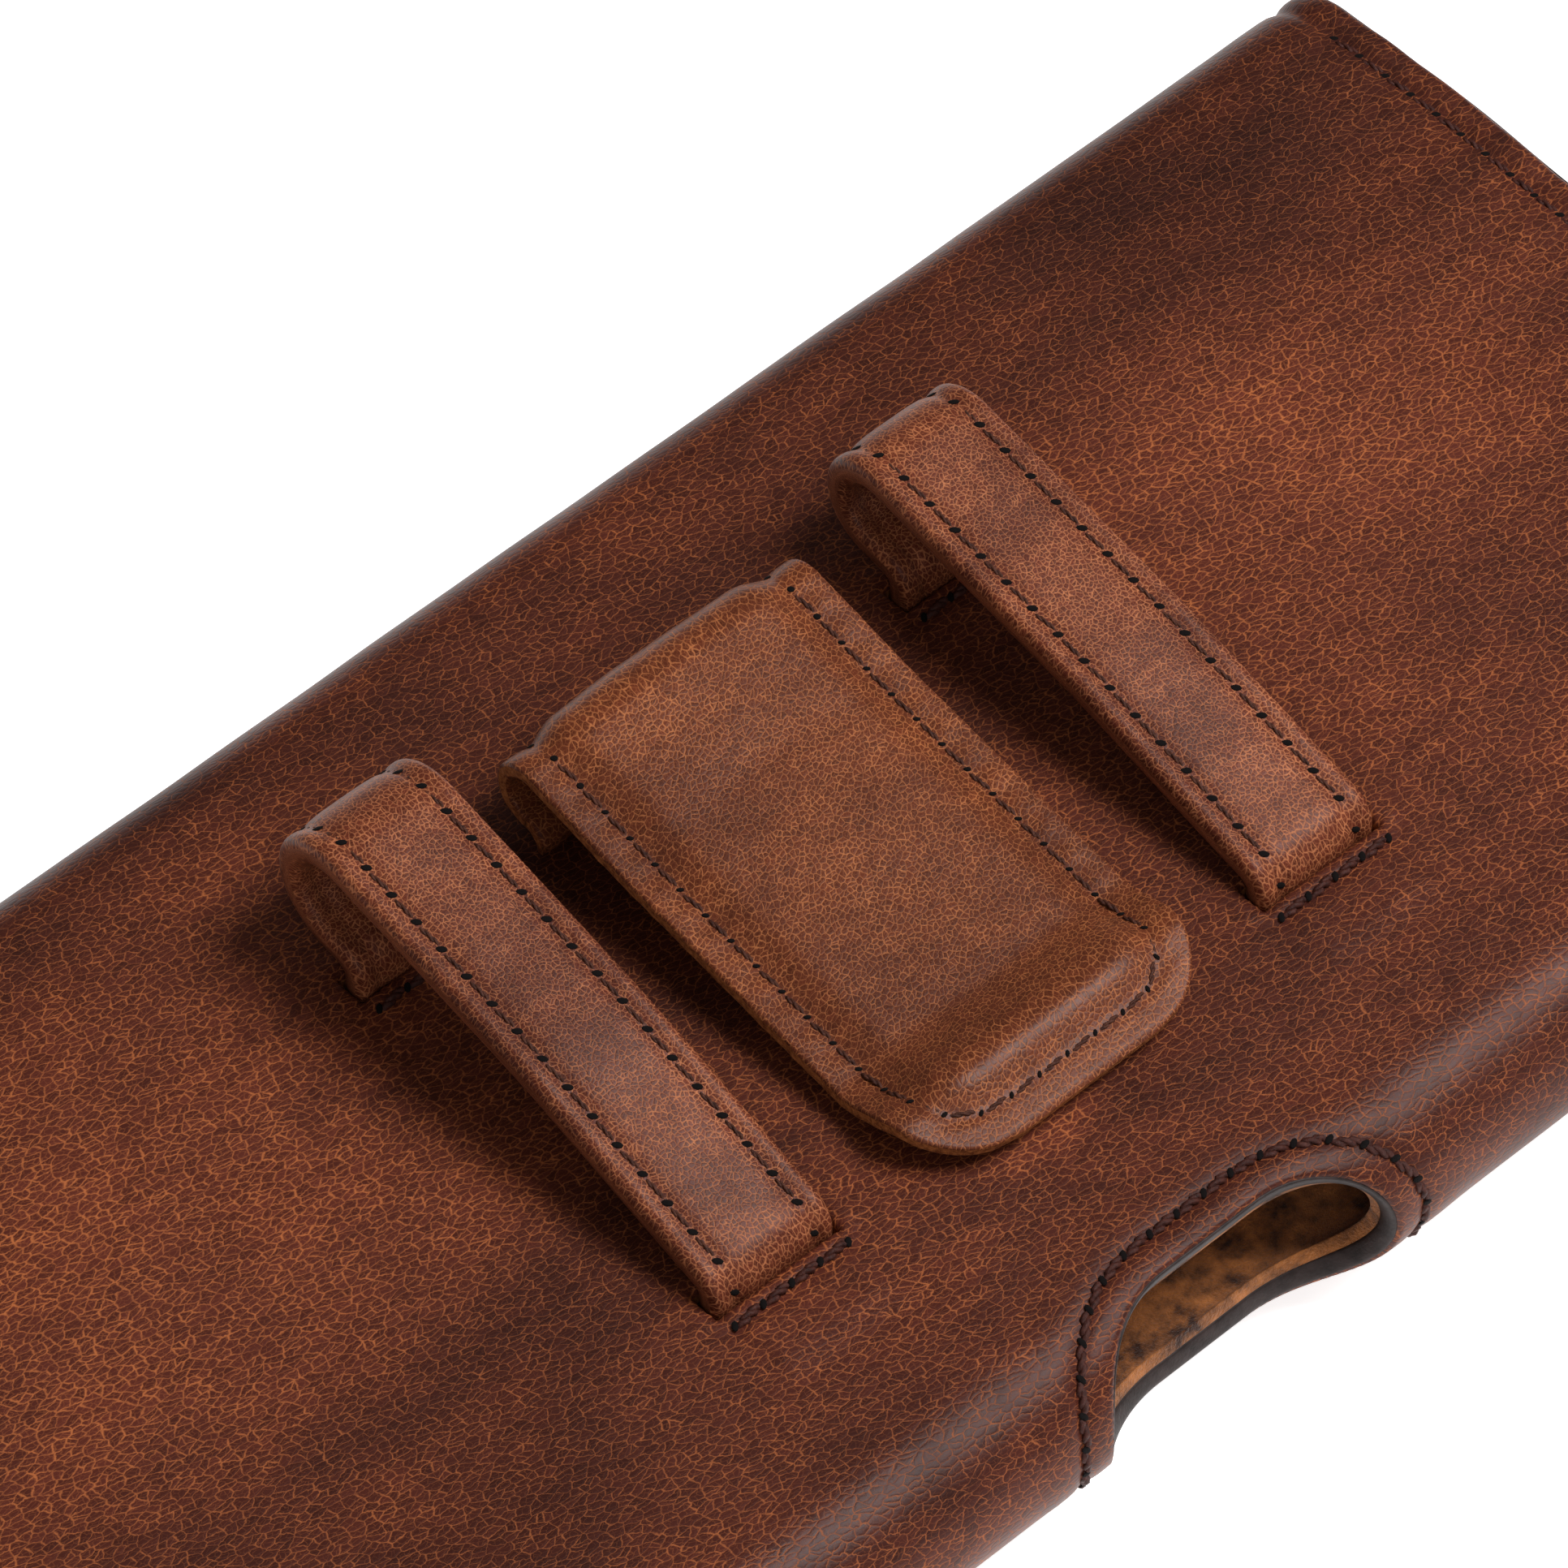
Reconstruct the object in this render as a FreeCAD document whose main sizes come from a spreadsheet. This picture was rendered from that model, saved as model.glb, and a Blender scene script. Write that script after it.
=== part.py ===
# Horizontal leather belt pouch with a magnetic flap, two sewn belt loops and a covered spring clip.
#
# The pouch lies on its flap with its belt side up. X runs along its length, Y from the bottom fold
# towards the crease of the flap, and Z up. The origin is the middle of its footprint, on the surface
# that it lies on. All sizes are in millimetres.
#
# Nested sheets make the body: leather outside, a stiffening core, and a suede lining inside. They are
# bent round the bottom fold as a U, round the crease as a quarter ring, and round the flap as a J.

import FreeCAD, Part
import math
import os
import Sketcher
from FreeCAD import Vector

doc = FreeCAD.newDocument("belt_pouch")

# ---------------------------------------------------------------- driving dimensions
DIMENSIONS = [
    # body
    ("pouch_length", 192, "end to end, along X"),
    ("pouch_width", 97.5, "bottom fold to flap crease, along Y"),
    ("pocket_depth", 10.1, "clear height between the linings"),
    ("leather", 1.6, "thickness of the outer leather"),
    ("core", 0.8, "thickness of the stiffening core"),
    ("lining", 0.8, "thickness of the suede lining"),
    ("flap_gap", 0.3, "air between the flap and the front panel"),
    ("mouth_gap", 1.5, "air between the front panel's top edge and the flap"),
    ("crease_radius", 6, "outside radius of the crease that the flap turns about"),
    ("crease_pivot_out", 1.25, "how far the pivot lies past the end of the back panel"),
    ("crease_pivot_deep", 1.5, "how far the pivot lies under the back panel's surface"),
    ("flap_corner", 4.5, "outside radius of the flap's front corner"),
    ("flap_short", 14, "how far the flap stops short of the bottom fold"),
    ("gusset", 1, "thickness of the end gussets"),
    ("gusset_depth", 6, "how far a gusset stands in from the end of the pouch"),
    # oval push-out hole, measured along the leather
    ("hole_length", 31, "along X"),
    ("hole_girth", 21, "round the fold"),
    ("hole_offset", 2, "how far its middle lies to the -X side"),
    # magnets
    ("magnet_radius", 6, "flap magnets and keeper discs"),
    ("magnet_spacing", 90, "between the two magnets"),
    ("magnet_height", 30, "magnets above the bottom fold"),
    # belt loops
    ("loop_spacing", 59.2, "between the middles of the loops"),
    ("loop_width", 12.6, "width of a strap"),
    ("strap", 2.6, "thickness of a strap, leather and tape together"),
    ("tape", 0.8, "thickness of the tape inside a strap"),
    ("tape_width", 9, "width of that tape"),
    ("tape_tab", 8, "length of each end of the tape, sewn under the leather"),
    ("loop_low", 27.2, "lower slit above the bottom fold"),
    ("loop_span", 42, "lower slit to upper slit"),
    ("loop_overhang", 7.6, "strap's bend past the upper slit"),
    ("left_loop_rise", 14.6, "height of the left strap's middle at its bend"),
    ("right_loop_rise", 12.6, "height of the right strap's middle at its bend"),
    ("loop_foot", 0.3, "air under a strap beside its lower slit"),
    ("loop_leg", 2.6, "air under the bend of a strap"),
    ("loop_back_rise", 0.8, "upper end of a strap's back leg above the lower end's foot"),
    ("slit_ease", 0.1, "air round what passes through a slit or sits in a window"),
    # spring clip
    ("clip_width", 31.5, "width of the leather"),
    ("clip_slit", 69, "slit above the bottom fold"),
    ("clip_overhang", 4.6, "bend past the slit"),
    ("clip_reach", 47.3, "slit to the free end"),
    ("clip_rise", 8.7, "height of the blade's middle at its bend"),
    ("clip_tip_corner", 8.5, "corner radius of the free end"),
    ("clip_cover", 1.6, "cover's outside above the middle of the steel"),
    ("clip_lining", 1.4, "lining's outside below the middle of the steel"),
    ("clip_rest", 0.3, "air between the blade's lowest point and the back panel"),
    ("clip_leg_air", 0.8, "air between the clip's leg and the back panel"),
    ("clip_split", 6, "bend's end to where the blade that turns begins, along Y"),
    ("clip_slope_end", 14, "bend's end to where the blade's upper slope ends, along Y"),
    ("clip_trough", 11.3, "trough to the free end"),
    ("clip_ridge", 6.3, "ridge to the free end"),
    ("clip_ridge_rise", 1.9, "ridge above the trough"),
    ("clip_tip_rise", 0.1, "free end above the trough"),
    ("spring", 0.8, "thickness of the steel"),
    ("spring_width", 22.5, "width of the steel"),
    ("spring_base", 20, "length of the steel under the leather"),
    ("spring_short", 5.2, "steel's end before the leather's free end"),
    # bar tacks
    ("stitch_pitch", 3, "needle hole to needle hole"),
    ("stitch_length", 2.5, "thread between two holes"),
    ("stitch_width", 0.8, "thickness of the thread"),
    ("tack_stitches", 4, "stitches in a bar tack"),
    ("tack_distance", 3, "bar tack to slit"),
]

sheet = doc.addObject("Spreadsheet::Sheet", "sizes")
for row, (alias, number, meaning) in enumerate(DIMENSIONS, start=1):
    sheet.set(f"A{row}", str(number))
    sheet.setAlias(f"A{row}", alias)
    sheet.set(f"B{row}", meaning)
doc.recompute()


def size(alias):
    """The value of a driving dimension."""
    return float(getattr(sheet, alias))


def value(expression):
    """What an expression of the document comes to now."""
    result = sheet.evalExpression(expression)
    return float(getattr(result, "Value", result))


# ---------------------------------------------------------------- places, as expressions of the sheet
STACK = "(sizes.leather + sizes.core + sizes.lining)"
SHELL_DEPTH = f"(sizes.pocket_depth + 2 * {STACK})"
SHELL_BOTTOM = f"({STACK} + sizes.flap_gap)"
BACK = f"({SHELL_BOTTOM} + {SHELL_DEPTH})"
FOLD_Y = f"(-sizes.pouch_width / 2 + {SHELL_DEPTH} / 2)"
FOLD_Z = f"({SHELL_BOTTOM} + {SHELL_DEPTH} / 2)"
CREASE_Y = "(sizes.pouch_width / 2 - sizes.crease_radius)"
CREASE_Z = f"({BACK} - sizes.crease_radius)"
MOUTH_Y = f"(sizes.pouch_width / 2 - {STACK} - sizes.mouth_gap)"
FLAP_END_Y = "(-sizes.pouch_width / 2 + sizes.flap_short)"

# The three nested sheets: how deep each starts under the outside, and its thickness.
LAYERS = {
    "leather": ("0", "sizes.leather"),
    "core": ("sizes.leather", "sizes.core"),
    "lining": ("(sizes.leather + sizes.core)", "sizes.lining"),
}

pieces = {}


def keep(node, feature):
    """Names a finished sub-part and lists it for export."""
    feature.Label = node
    pieces[node] = feature
    return feature


# ---------------------------------------------------------------- sketches and pads
def origin_plane(body, role):
    """The origin plane of a body that has this role."""
    return next(f for f in body.Origin.OriginFeatures if f.Role == role)


def draw_outline(body, name, corners, arcs, along="0"):
    """A closed sketch on the body's YZ plane, moved along X. Each corner is pinned by two expressions.

    arcs gives, for a side that is an arc, its centre's two expressions, its radius's, and whether
    the arc turns anticlockwise.
    """
    sketch = body.newObject("Sketcher::SketchObject", name)
    sketch.AttachmentSupport = (origin_plane(body, "YZ_Plane"), [""])
    sketch.MapMode = "FlatFace"
    sketch.setExpression("AttachmentOffset.Base.z", along)
    points = [Vector(value(across), value(up), 0) for across, up in corners]
    ends = []
    for side, start in enumerate(points):
        finish = points[(side + 1) % len(points)]
        if side not in arcs:
            sketch.addGeometry(Part.LineSegment(start, finish))
            ends.append((1, 2))
            continue
        middle_across, middle_up, radius, anticlockwise = arcs[side]
        middle = Vector(value(middle_across), value(middle_up), 0)
        circle = Part.Circle(middle, Vector(0, 0, 1), value(radius))
        turns = [circle.parameter(start), circle.parameter(finish)]
        if not anticlockwise:
            turns.reverse()
        sketch.addGeometry(Part.ArcOfCircle(circle, turns[0], turns[1]))
        ends.append((1, 2) if anticlockwise else (2, 1))
    for side in range(len(points)):
        after = (side + 1) % len(points)
        sketch.addConstraint(
            Sketcher.Constraint("Coincident", side, ends[side][1], after, ends[after][0])
        )
    for side, (across, up) in enumerate(corners):
        for direction, place, expression in (
            ("DistanceX", points[side].x, across),
            ("DistanceY", points[side].y, up),
        ):
            index = sketch.addConstraint(
                Sketcher.Constraint(direction, -1, 1, side, ends[side][0], place)
            )
            sketch.setExpression(f"Constraints[{index}]", expression)
    for side, (middle_across, _, _, _) in arcs.items():
        index = sketch.addConstraint(
            Sketcher.Constraint("DistanceX", -1, 1, side, 3, value(middle_across))
        )
        sketch.setExpression(f"Constraints[{index}]", middle_across)
    return sketch


def pad_outline(name, corners, arcs, length="sizes.pouch_length", along="0", symmetric=True):
    """A PartDesign body: one outline in the YZ plane, padded along X."""
    body = doc.addObject("PartDesign::Body", name)
    sketch = draw_outline(body, name + "_outline", corners, arcs, along)
    pad = body.newObject("PartDesign::Pad", name + "_pad")
    pad.Profile = sketch
    pad.SideType = "Symmetric" if symmetric else "One side"
    pad.setExpression("Length", length)
    body.Tip = pad
    doc.recompute()
    return body


def shell_layer(name, depth, thickness, back_end, front_end):
    """A sheet bent round the bottom fold: back panel, fold and front panel."""
    outer = f"({SHELL_DEPTH} / 2 - {depth})"
    inner = f"({outer} - {thickness})"
    corners = [
        (back_end, f"{FOLD_Z} + {outer}"),
        (FOLD_Y, f"{FOLD_Z} + {outer}"),
        (FOLD_Y, f"{FOLD_Z} - {outer}"),
        (front_end, f"{FOLD_Z} - {outer}"),
        (front_end, f"{FOLD_Z} - {inner}"),
        (FOLD_Y, f"{FOLD_Z} - {inner}"),
        (FOLD_Y, f"{FOLD_Z} + {inner}"),
        (back_end, f"{FOLD_Z} + {inner}"),
    ]
    arcs = {1: (FOLD_Y, FOLD_Z, outer, True), 5: (FOLD_Y, FOLD_Z, inner, False)}
    return pad_outline(name, corners, arcs)


def crease_layer(name, depth, thickness):
    """A sheet bent through a quarter turn at the crease between back panel and flap."""
    outer = f"(sizes.crease_radius - {depth})"
    inner = f"({outer} - {thickness})"
    corners = [
        (f"{CREASE_Y} + {outer}", CREASE_Z),
        (CREASE_Y, f"{CREASE_Z} + {outer}"),
        (CREASE_Y, f"{CREASE_Z} + {inner}"),
        (f"{CREASE_Y} + {inner}", CREASE_Z),
    ]
    arcs = {0: (CREASE_Y, CREASE_Z, outer, True), 2: (CREASE_Y, CREASE_Z, inner, False)}
    return pad_outline(name, corners, arcs)


def flap_layer(name, depth, thickness):
    """A sheet of the flap: down from the crease, round the front corner and under the front panel."""
    outer = f"(sizes.flap_corner - {depth})"
    inner = f"({outer} - {thickness})"
    corner_y = "(sizes.pouch_width / 2 - sizes.flap_corner)"
    corner_z = "sizes.flap_corner"
    corners = [
        (f"{corner_y} + {outer}", CREASE_Z),
        (f"{corner_y} + {inner}", CREASE_Z),
        (f"{corner_y} + {inner}", corner_z),
        (corner_y, f"{corner_z} - {inner}"),
        (FLAP_END_Y, f"{corner_z} - {inner}"),
        (FLAP_END_Y, f"{corner_z} - {outer}"),
        (corner_y, f"{corner_z} - {outer}"),
        (f"{corner_y} + {outer}", corner_z),
    ]
    arcs = {2: (corner_y, corner_z, inner, False), 6: (corner_y, corner_z, outer, True)}
    return pad_outline(name, corners, arcs)


def take_away(name, base, *tools):
    """The base with the tools cut out of it."""
    cut = doc.addObject("Part::Cut", name)
    cut.Base = base
    if len(tools) == 1:
        cut.Tool = tools[0]
    else:
        joined = doc.addObject("Part::MultiFuse", name + "_tools")
        joined.Shapes = list(tools)
        cut.Tool = joined
    return cut


def block(name, middle_x, low_y, low_z, width, length, height):
    """A box whose middle in X, lowest Y and Z, and sizes are expressions."""
    box = doc.addObject("Part::Box", name)
    box.setExpression("Width", length)
    box.setExpression("Length", width)
    box.setExpression("Height", height)
    box.setExpression("Placement.Base.x", f"{middle_x} - {width} / 2")
    box.setExpression("Placement.Base.y", low_y)
    box.setExpression("Placement.Base.z", low_z)
    return box


def disc(name, x, y, z, radius, height):
    """An upright cylinder whose place and sizes are expressions."""
    cylinder = doc.addObject("Part::Cylinder", name)
    cylinder.setExpression("Radius", radius)
    cylinder.setExpression("Height", height)
    cylinder.setExpression("Placement.Base.x", x)
    cylinder.setExpression("Placement.Base.y", y)
    cylinder.setExpression("Placement.Base.z", z)
    return cylinder


def group(name, members):
    """Separate solids that share one node."""
    compound = doc.addObject("Part::Compound", name)
    compound.Links = members
    return compound


# ---------------------------------------------------------------- sheets bent along a path
def bent_edges(points, radii, offset):
    """The edges of a path of straight runs and tangent arcs in the YZ plane, moved sideways by offset."""
    edges = []
    here = None
    for corner in range(1, len(points)):
        run = (points[corner] - points[corner - 1]).normalize()
        side = Vector(0, -run.z, run.y) * offset
        if here is None:
            here = points[0] + side
        if corner == len(points) - 1:
            edges.append(Part.LineSegment(here, points[corner] + side).toShape())
            break
        following = (points[corner + 1] - points[corner]).normalize()
        turn = math.copysign(run.getAngle(following), run.y * following.z - run.z * following.y)
        radius = radii[corner - 1]
        tangent = radius * math.tan(abs(turn) / 2)
        next_side = Vector(0, -following.z, following.y) * offset
        start = points[corner] - run * tangent + side
        finish = points[corner] + following * tangent + next_side
        toward = Vector(0, -run.z, run.y) * math.copysign(1, turn)
        centre = points[corner] - run * tangent + toward * radius
        outward = (points[corner] - centre).normalize()
        middle = centre + outward * (radius - math.copysign(offset, turn * offset))
        edges.append(Part.LineSegment(here, start).toShape())
        edges.append(Part.Arc(start, middle, finish).toShape())
        here = finish
    return edges


def bent_strip(points, radii, low, high, width, middle_x=0.0):
    """A strip bent along a path, between two sideways offsets of it, and width wide in X."""
    near = bent_edges(points, radii, low)
    far = bent_edges(points, radii, high)
    caps = [
        Part.LineSegment(near[0].valueAt(near[0].FirstParameter),
                         far[0].valueAt(far[0].FirstParameter)).toShape(),
        Part.LineSegment(near[-1].valueAt(near[-1].LastParameter),
                         far[-1].valueAt(far[-1].LastParameter)).toShape(),
    ]
    wire = Part.Wire(Part.__sortEdges__(near + far + caps))
    strip = Part.Face(wire).extrude(Vector(width, 0, 0))
    strip.translate(Vector(middle_x - width / 2, 0, 0))
    return strip


def freeform(name, shape):
    """A document object for a shape that neither a sketch nor a primitive fits."""
    feature = doc.addObject("Part::Feature", name)
    feature.Shape = shape
    return feature


def yz(across, up):
    return Vector(0, across, up)


BOTTOM_Y = -size("pouch_width") / 2
BACK_Z = value(BACK)
CORE_MIDDLE_Z = BACK_Z - size("leather") - size("core") / 2
LEATHER_UNDERSIDE_Z = BACK_Z - size("leather")
SLIT_Z = f"({BACK} - sizes.leather)"
SLIT_HEIGHT = "(2 * sizes.leather)"
CORE_Z = f"({BACK} - sizes.leather - sizes.core)"


# ---------------------------------------------------------------- oval push-out hole
def oval_cutter():
    """A wedge that cuts the oval square to the fold at every point of its edge.

    The oval is a stadium on the flat leather. Its points are carried round the fold's outside, and
    straight lines from the fold's axis through them are the wedge's sides.
    """
    outside = value(SHELL_DEPTH) / 2
    end_radius = size("hole_girth") / 2
    half_straight = size("hole_length") / 2 - end_radius
    steps = 16
    flat = []
    for end in (1, -1):
        for step in range(steps + 1):
            turn = math.pi * step / steps
            flat.append((end * (half_straight + end_radius * math.sin(turn)),
                         end * end_radius * math.cos(turn)))

    def oval_at(distance):
        points = [
            Vector(x - size("hole_offset"), value(FOLD_Y) - distance,
                   value(FOLD_Z) + distance * math.tan(girth / outside))
            for x, girth in flat
        ]
        return Part.makePolygon(points + points[:1])

    near_axis, past_outside = outside / 8, outside * 1.1
    wedge = Part.makeLoft([oval_at(near_axis), oval_at(past_outside)], True, True)
    if wedge.Volume < 0:
        wedge.reverse()
    return wedge


oval = freeform("oval_cutter", oval_cutter())


# ---------------------------------------------------------------- belt loops
# The strap's line passes this point: a share of the way from slit to slit, a share of its height.
ARCH_ALONG = 0.5
ARCH_UP = 0.56
ARCH_RADIUS = 40
# Bends at the slits, in strap thicknesses, and over the top, as a share of the bend's height.
SLIT_BEND = 0.75
TOP_BEND = 0.47


def loop_path(rise, from_z):
    """The middle of a strap, from inside the lower slit, over the belt and back into the upper slit."""
    low = BOTTOM_Y + size("loop_low")
    high = low + size("loop_span")
    bend = high + size("loop_overhang")
    strap = size("strap")
    foot = BACK_Z + strap / 2 + size("loop_foot")
    crown = BACK_Z + rise
    leg = BACK_Z + strap / 2 + size("loop_leg")
    points = [
        yz(low, from_z),
        yz(low, foot),
        yz(low + ARCH_ALONG * size("loop_span"), BACK_Z + ARCH_UP * rise),
        yz(bend, crown),
        yz(bend, leg),
        yz(high, foot + size("loop_back_rise")),
        yz(high, from_z),
    ]
    tight = SLIT_BEND * strap
    bend_radius = TOP_BEND * (crown - leg)
    return points, [tight, ARCH_RADIUS, bend_radius, bend_radius, tight]


def loop_tape_path(rise):
    """The tape's middle: the strap's path, and a tab at each end under the leather."""
    points, radii = loop_path(rise, CORE_MIDDLE_Z)
    tab = Vector(0, size("tape_tab"), 0)
    sharp = size("tape")
    return [points[0] - tab] + points + [points[-1] - tab], [sharp] + radii + [sharp]


loop_slits = []
loop_windows = []
for side, sign in (("left", -1), ("right", 1)):
    middle_x = sign * size("loop_spacing") / 2
    middle = f"({sign} * sizes.loop_spacing / 2)"
    rise = size(side + "_loop_rise")
    half_strap = size("strap") / 2
    half_tape = size("tape") / 2
    tape = bent_strip(*loop_tape_path(rise), -half_tape, half_tape, size("tape_width"), middle_x)
    sleeve = bent_strip(*loop_path(rise, LEATHER_UNDERSIDE_Z), -half_strap, half_strap,
                        size("loop_width"), middle_x)
    keep(side + "_loop_strap", freeform(side + "_loop_strap", sleeve.cut(tape)))
    keep(side + "_loop_tape", freeform(side + "_loop_tape", tape))
    for end, slit in (("low", "sizes.loop_low"), ("high", "(sizes.loop_low + sizes.loop_span)")):
        slit_y = f"(-sizes.pouch_width / 2 + {slit})"
        loop_slits.append(block(
            f"{side}_{end}_slit", middle, f"{slit_y} - sizes.strap / 2 - sizes.slit_ease", SLIT_Z,
            "(sizes.loop_width + 2 * sizes.slit_ease)", "(sizes.strap + 2 * sizes.slit_ease)",
            SLIT_HEIGHT))
        loop_windows.append(block(
            f"{side}_{end}_window", middle, f"{slit_y} - sizes.tape_tab - sizes.slit_ease", CORE_Z,
            "(sizes.tape_width + 2 * sizes.slit_ease)",
            "(sizes.tape_tab + sizes.tape / 2 + 2 * sizes.slit_ease)", "sizes.core"))


# ---------------------------------------------------------------- spring clip
SLIT_Y = BOTTOM_Y + size("clip_slit")
BEND_Y = SLIT_Y + size("clip_overhang")
TIP_Y = SLIT_Y - size("clip_reach")
REST_Z = BACK_Z + size("clip_rest") + size("clip_lining")
LEG_Z = BACK_Z + size("clip_cover") + size("clip_leg_air")
CROWN_Z = BACK_Z + size("clip_rise")
BLADE_SLOPE = math.tan(math.radians(12))
# Bend radii: at the slit in cover thicknesses, over the top as a share of the bend's height, at the
# steel's foot in steel thicknesses, and along the blade in millimetres.
CLIP_SLIT_BEND = 1.25
CLIP_TOP_BEND = 0.42
STEEL_FOOT_BEND = 0.55
BLADE_RADII = [30, 6, 3]
BEND_RADIUS = CLIP_TOP_BEND * (CROWN_Z - LEG_Z)


def upper_slope(distance):
    """A point on the blade's upper slope, this far before its bend's end along Y."""
    return yz(BEND_Y - distance, CROWN_Z - distance * BLADE_SLOPE)


def tip_slope(distance):
    """A point between the blade's ridge and its free end, this far before the free end."""
    fall = size("clip_ridge_rise") - size("clip_tip_rise")
    return yz(TIP_Y + distance,
              REST_Z + size("clip_tip_rise") + fall * distance / size("clip_ridge"))


base_path = [
    yz(SLIT_Y - size("spring_base"), CORE_MIDDLE_Z),
    yz(SLIT_Y, CORE_MIDDLE_Z),
    yz(SLIT_Y, BACK_Z),
]
bend_path = [
    yz(SLIT_Y, BACK_Z),
    yz(SLIT_Y, LEG_Z),
    yz(BEND_Y, LEG_Z),
    yz(BEND_Y, CROWN_Z),
    upper_slope(size("clip_split")),
]
bend_radii = [CLIP_SLIT_BEND * size("clip_cover"), BEND_RADIUS, BEND_RADIUS]
blade_path = [
    upper_slope(size("clip_split")),
    upper_slope(size("clip_slope_end")),
    yz(TIP_Y + size("clip_trough"), REST_Z),
    tip_slope(size("clip_ridge")),
    tip_slope(0),
]
steel_path = blade_path[:-1] + [tip_slope(size("spring_short"))]
half_spring = size("spring") / 2
COVER_SIDE = -1
LINING_SIDE = 1


def clip_leather(path, radii, steel, side, outside):
    """A layer of the clip's leather, from the middle of the steel to its outside, less the steel."""
    limits = sorted([0.0, side * outside])
    return bent_strip(path, radii, *limits, size("clip_width")).cut(steel)


def rounded_end(shape):
    """The shape with the two corners of the clip's free end rounded, seen from above."""
    corner = size("clip_tip_corner")
    width = size("clip_width")
    room = size("clip_rise")
    height = CROWN_Z - BACK_Z + 2 * room
    plan = Part.makeBox(width, BEND_Y - TIP_Y + room, height,
                        Vector(-width / 2, TIP_Y, BACK_Z - room))
    front_edges = [
        e for e in plan.Edges
        if abs(e.BoundBox.ZLength - height) < 1e-6 and abs(e.BoundBox.YMin - TIP_Y) < 1e-6
    ]
    return shape.common(plan.makeFillet(corner, front_edges))


def spring_part(path, radii):
    return bent_strip(path, radii, -half_spring, half_spring, size("spring_width"))


base_steel = spring_part(base_path, [STEEL_FOOT_BEND * size("spring")])
bend_steel = spring_part(bend_path, bend_radii)
blade_steel = spring_part(steel_path, BLADE_RADII)
keep("clip_spring_base", freeform("clip_spring_base", base_steel))
keep("clip_spring_bend", freeform("clip_spring_bend", bend_steel))
keep("clip_spring_blade", freeform("clip_spring_blade", blade_steel))
for layer, side, outside in (
    ("cover", COVER_SIDE, size("clip_cover")),
    ("lining", LINING_SIDE, size("clip_lining")),
):
    bend_leather = clip_leather(bend_path, bend_radii, bend_steel, side, outside)
    blade_leather = clip_leather(blade_path, BLADE_RADII, blade_steel, side, outside)
    keep(f"clip_{layer}_bend", freeform(f"clip_{layer}_bend", bend_leather))
    keep(f"clip_{layer}_blade", freeform(f"clip_{layer}_blade", rounded_end(blade_leather)))

CLIP_SLIT_Y = "(-sizes.pouch_width / 2 + sizes.clip_slit)"
clip_slit = block(
    "clip_slit", "0", f"{CLIP_SLIT_Y} - sizes.spring / 2 - sizes.slit_ease", SLIT_Z,
    "(sizes.spring_width + 2 * sizes.slit_ease)", "(sizes.spring + 2 * sizes.slit_ease)",
    SLIT_HEIGHT)
clip_window = block(
    "clip_window", "0", f"{CLIP_SLIT_Y} - sizes.spring_base - sizes.slit_ease", CORE_Z,
    "(sizes.spring_width + 2 * sizes.slit_ease)",
    "(sizes.spring_base + sizes.spring / 2 + 2 * sizes.slit_ease)", "sizes.core")


# ---------------------------------------------------------------- magnets
MAGNET_Y = "(-sizes.pouch_width / 2 + sizes.magnet_height)"
KEEPER_Z = f"({SHELL_BOTTOM} + sizes.leather)"


def disc_pair(name, low_z, extra="0"):
    """Two discs in a core layer, or the room for them."""
    return [
        disc(f"{name}_{side}", f"{sign} * sizes.magnet_spacing / 2", MAGNET_Y, low_z,
             f"(sizes.magnet_radius + {extra})", "sizes.core")
        for side, sign in (("left", -1), ("right", 1))
    ]


keep("keeper_discs", group("keeper_discs", disc_pair("keeper", KEEPER_Z)))
keep("flap_magnets", group("flap_magnets", disc_pair("magnet", "sizes.leather")))
keeper_rooms = disc_pair("keeper_room", KEEPER_Z, "sizes.slit_ease")
magnet_rooms = disc_pair("magnet_room", "sizes.leather", "sizes.slit_ease")


# ---------------------------------------------------------------- shell, crease and flap
for layer, (depth, thickness) in LAYERS.items():
    bent = shell_layer(f"shell_{layer}_sheet", depth, thickness, CREASE_Y, MOUTH_Y)
    cutters = {
        "leather": [oval, clip_slit] + loop_slits,
        "core": [oval, clip_window] + loop_windows + keeper_rooms,
        "lining": [oval],
    }[layer]
    keep(f"shell_{layer}", take_away(f"shell_{layer}", bent, *cutters))
    flap_sheet = flap_layer(f"flap_{layer}_sheet", depth, thickness)
    if layer == "core":
        flap_sheet = take_away("flap_core_cut", flap_sheet, *magnet_rooms)
    keep(f"flap_{layer}", flap_sheet)
    if layer != "core":
        keep(f"crease_{layer}", crease_layer(f"crease_{layer}_sheet", depth, thickness))


# ---------------------------------------------------------------- gussets
def gusset_outline(inset):
    """The section of the pocket, less an inset: two straight sides and the rounded bottom."""
    radius = f"(sizes.pocket_depth / 2 - {inset})"
    top = f"({CREASE_Y} - sizes.gusset)"
    corners = [
        (top, f"{FOLD_Z} + {radius}"),
        (FOLD_Y, f"{FOLD_Z} + {radius}"),
        (FOLD_Y, f"{FOLD_Z} - {radius}"),
        (top, f"{FOLD_Z} - {radius}"),
    ]
    return corners, {1: (FOLD_Y, FOLD_Z, radius, True)}


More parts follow.
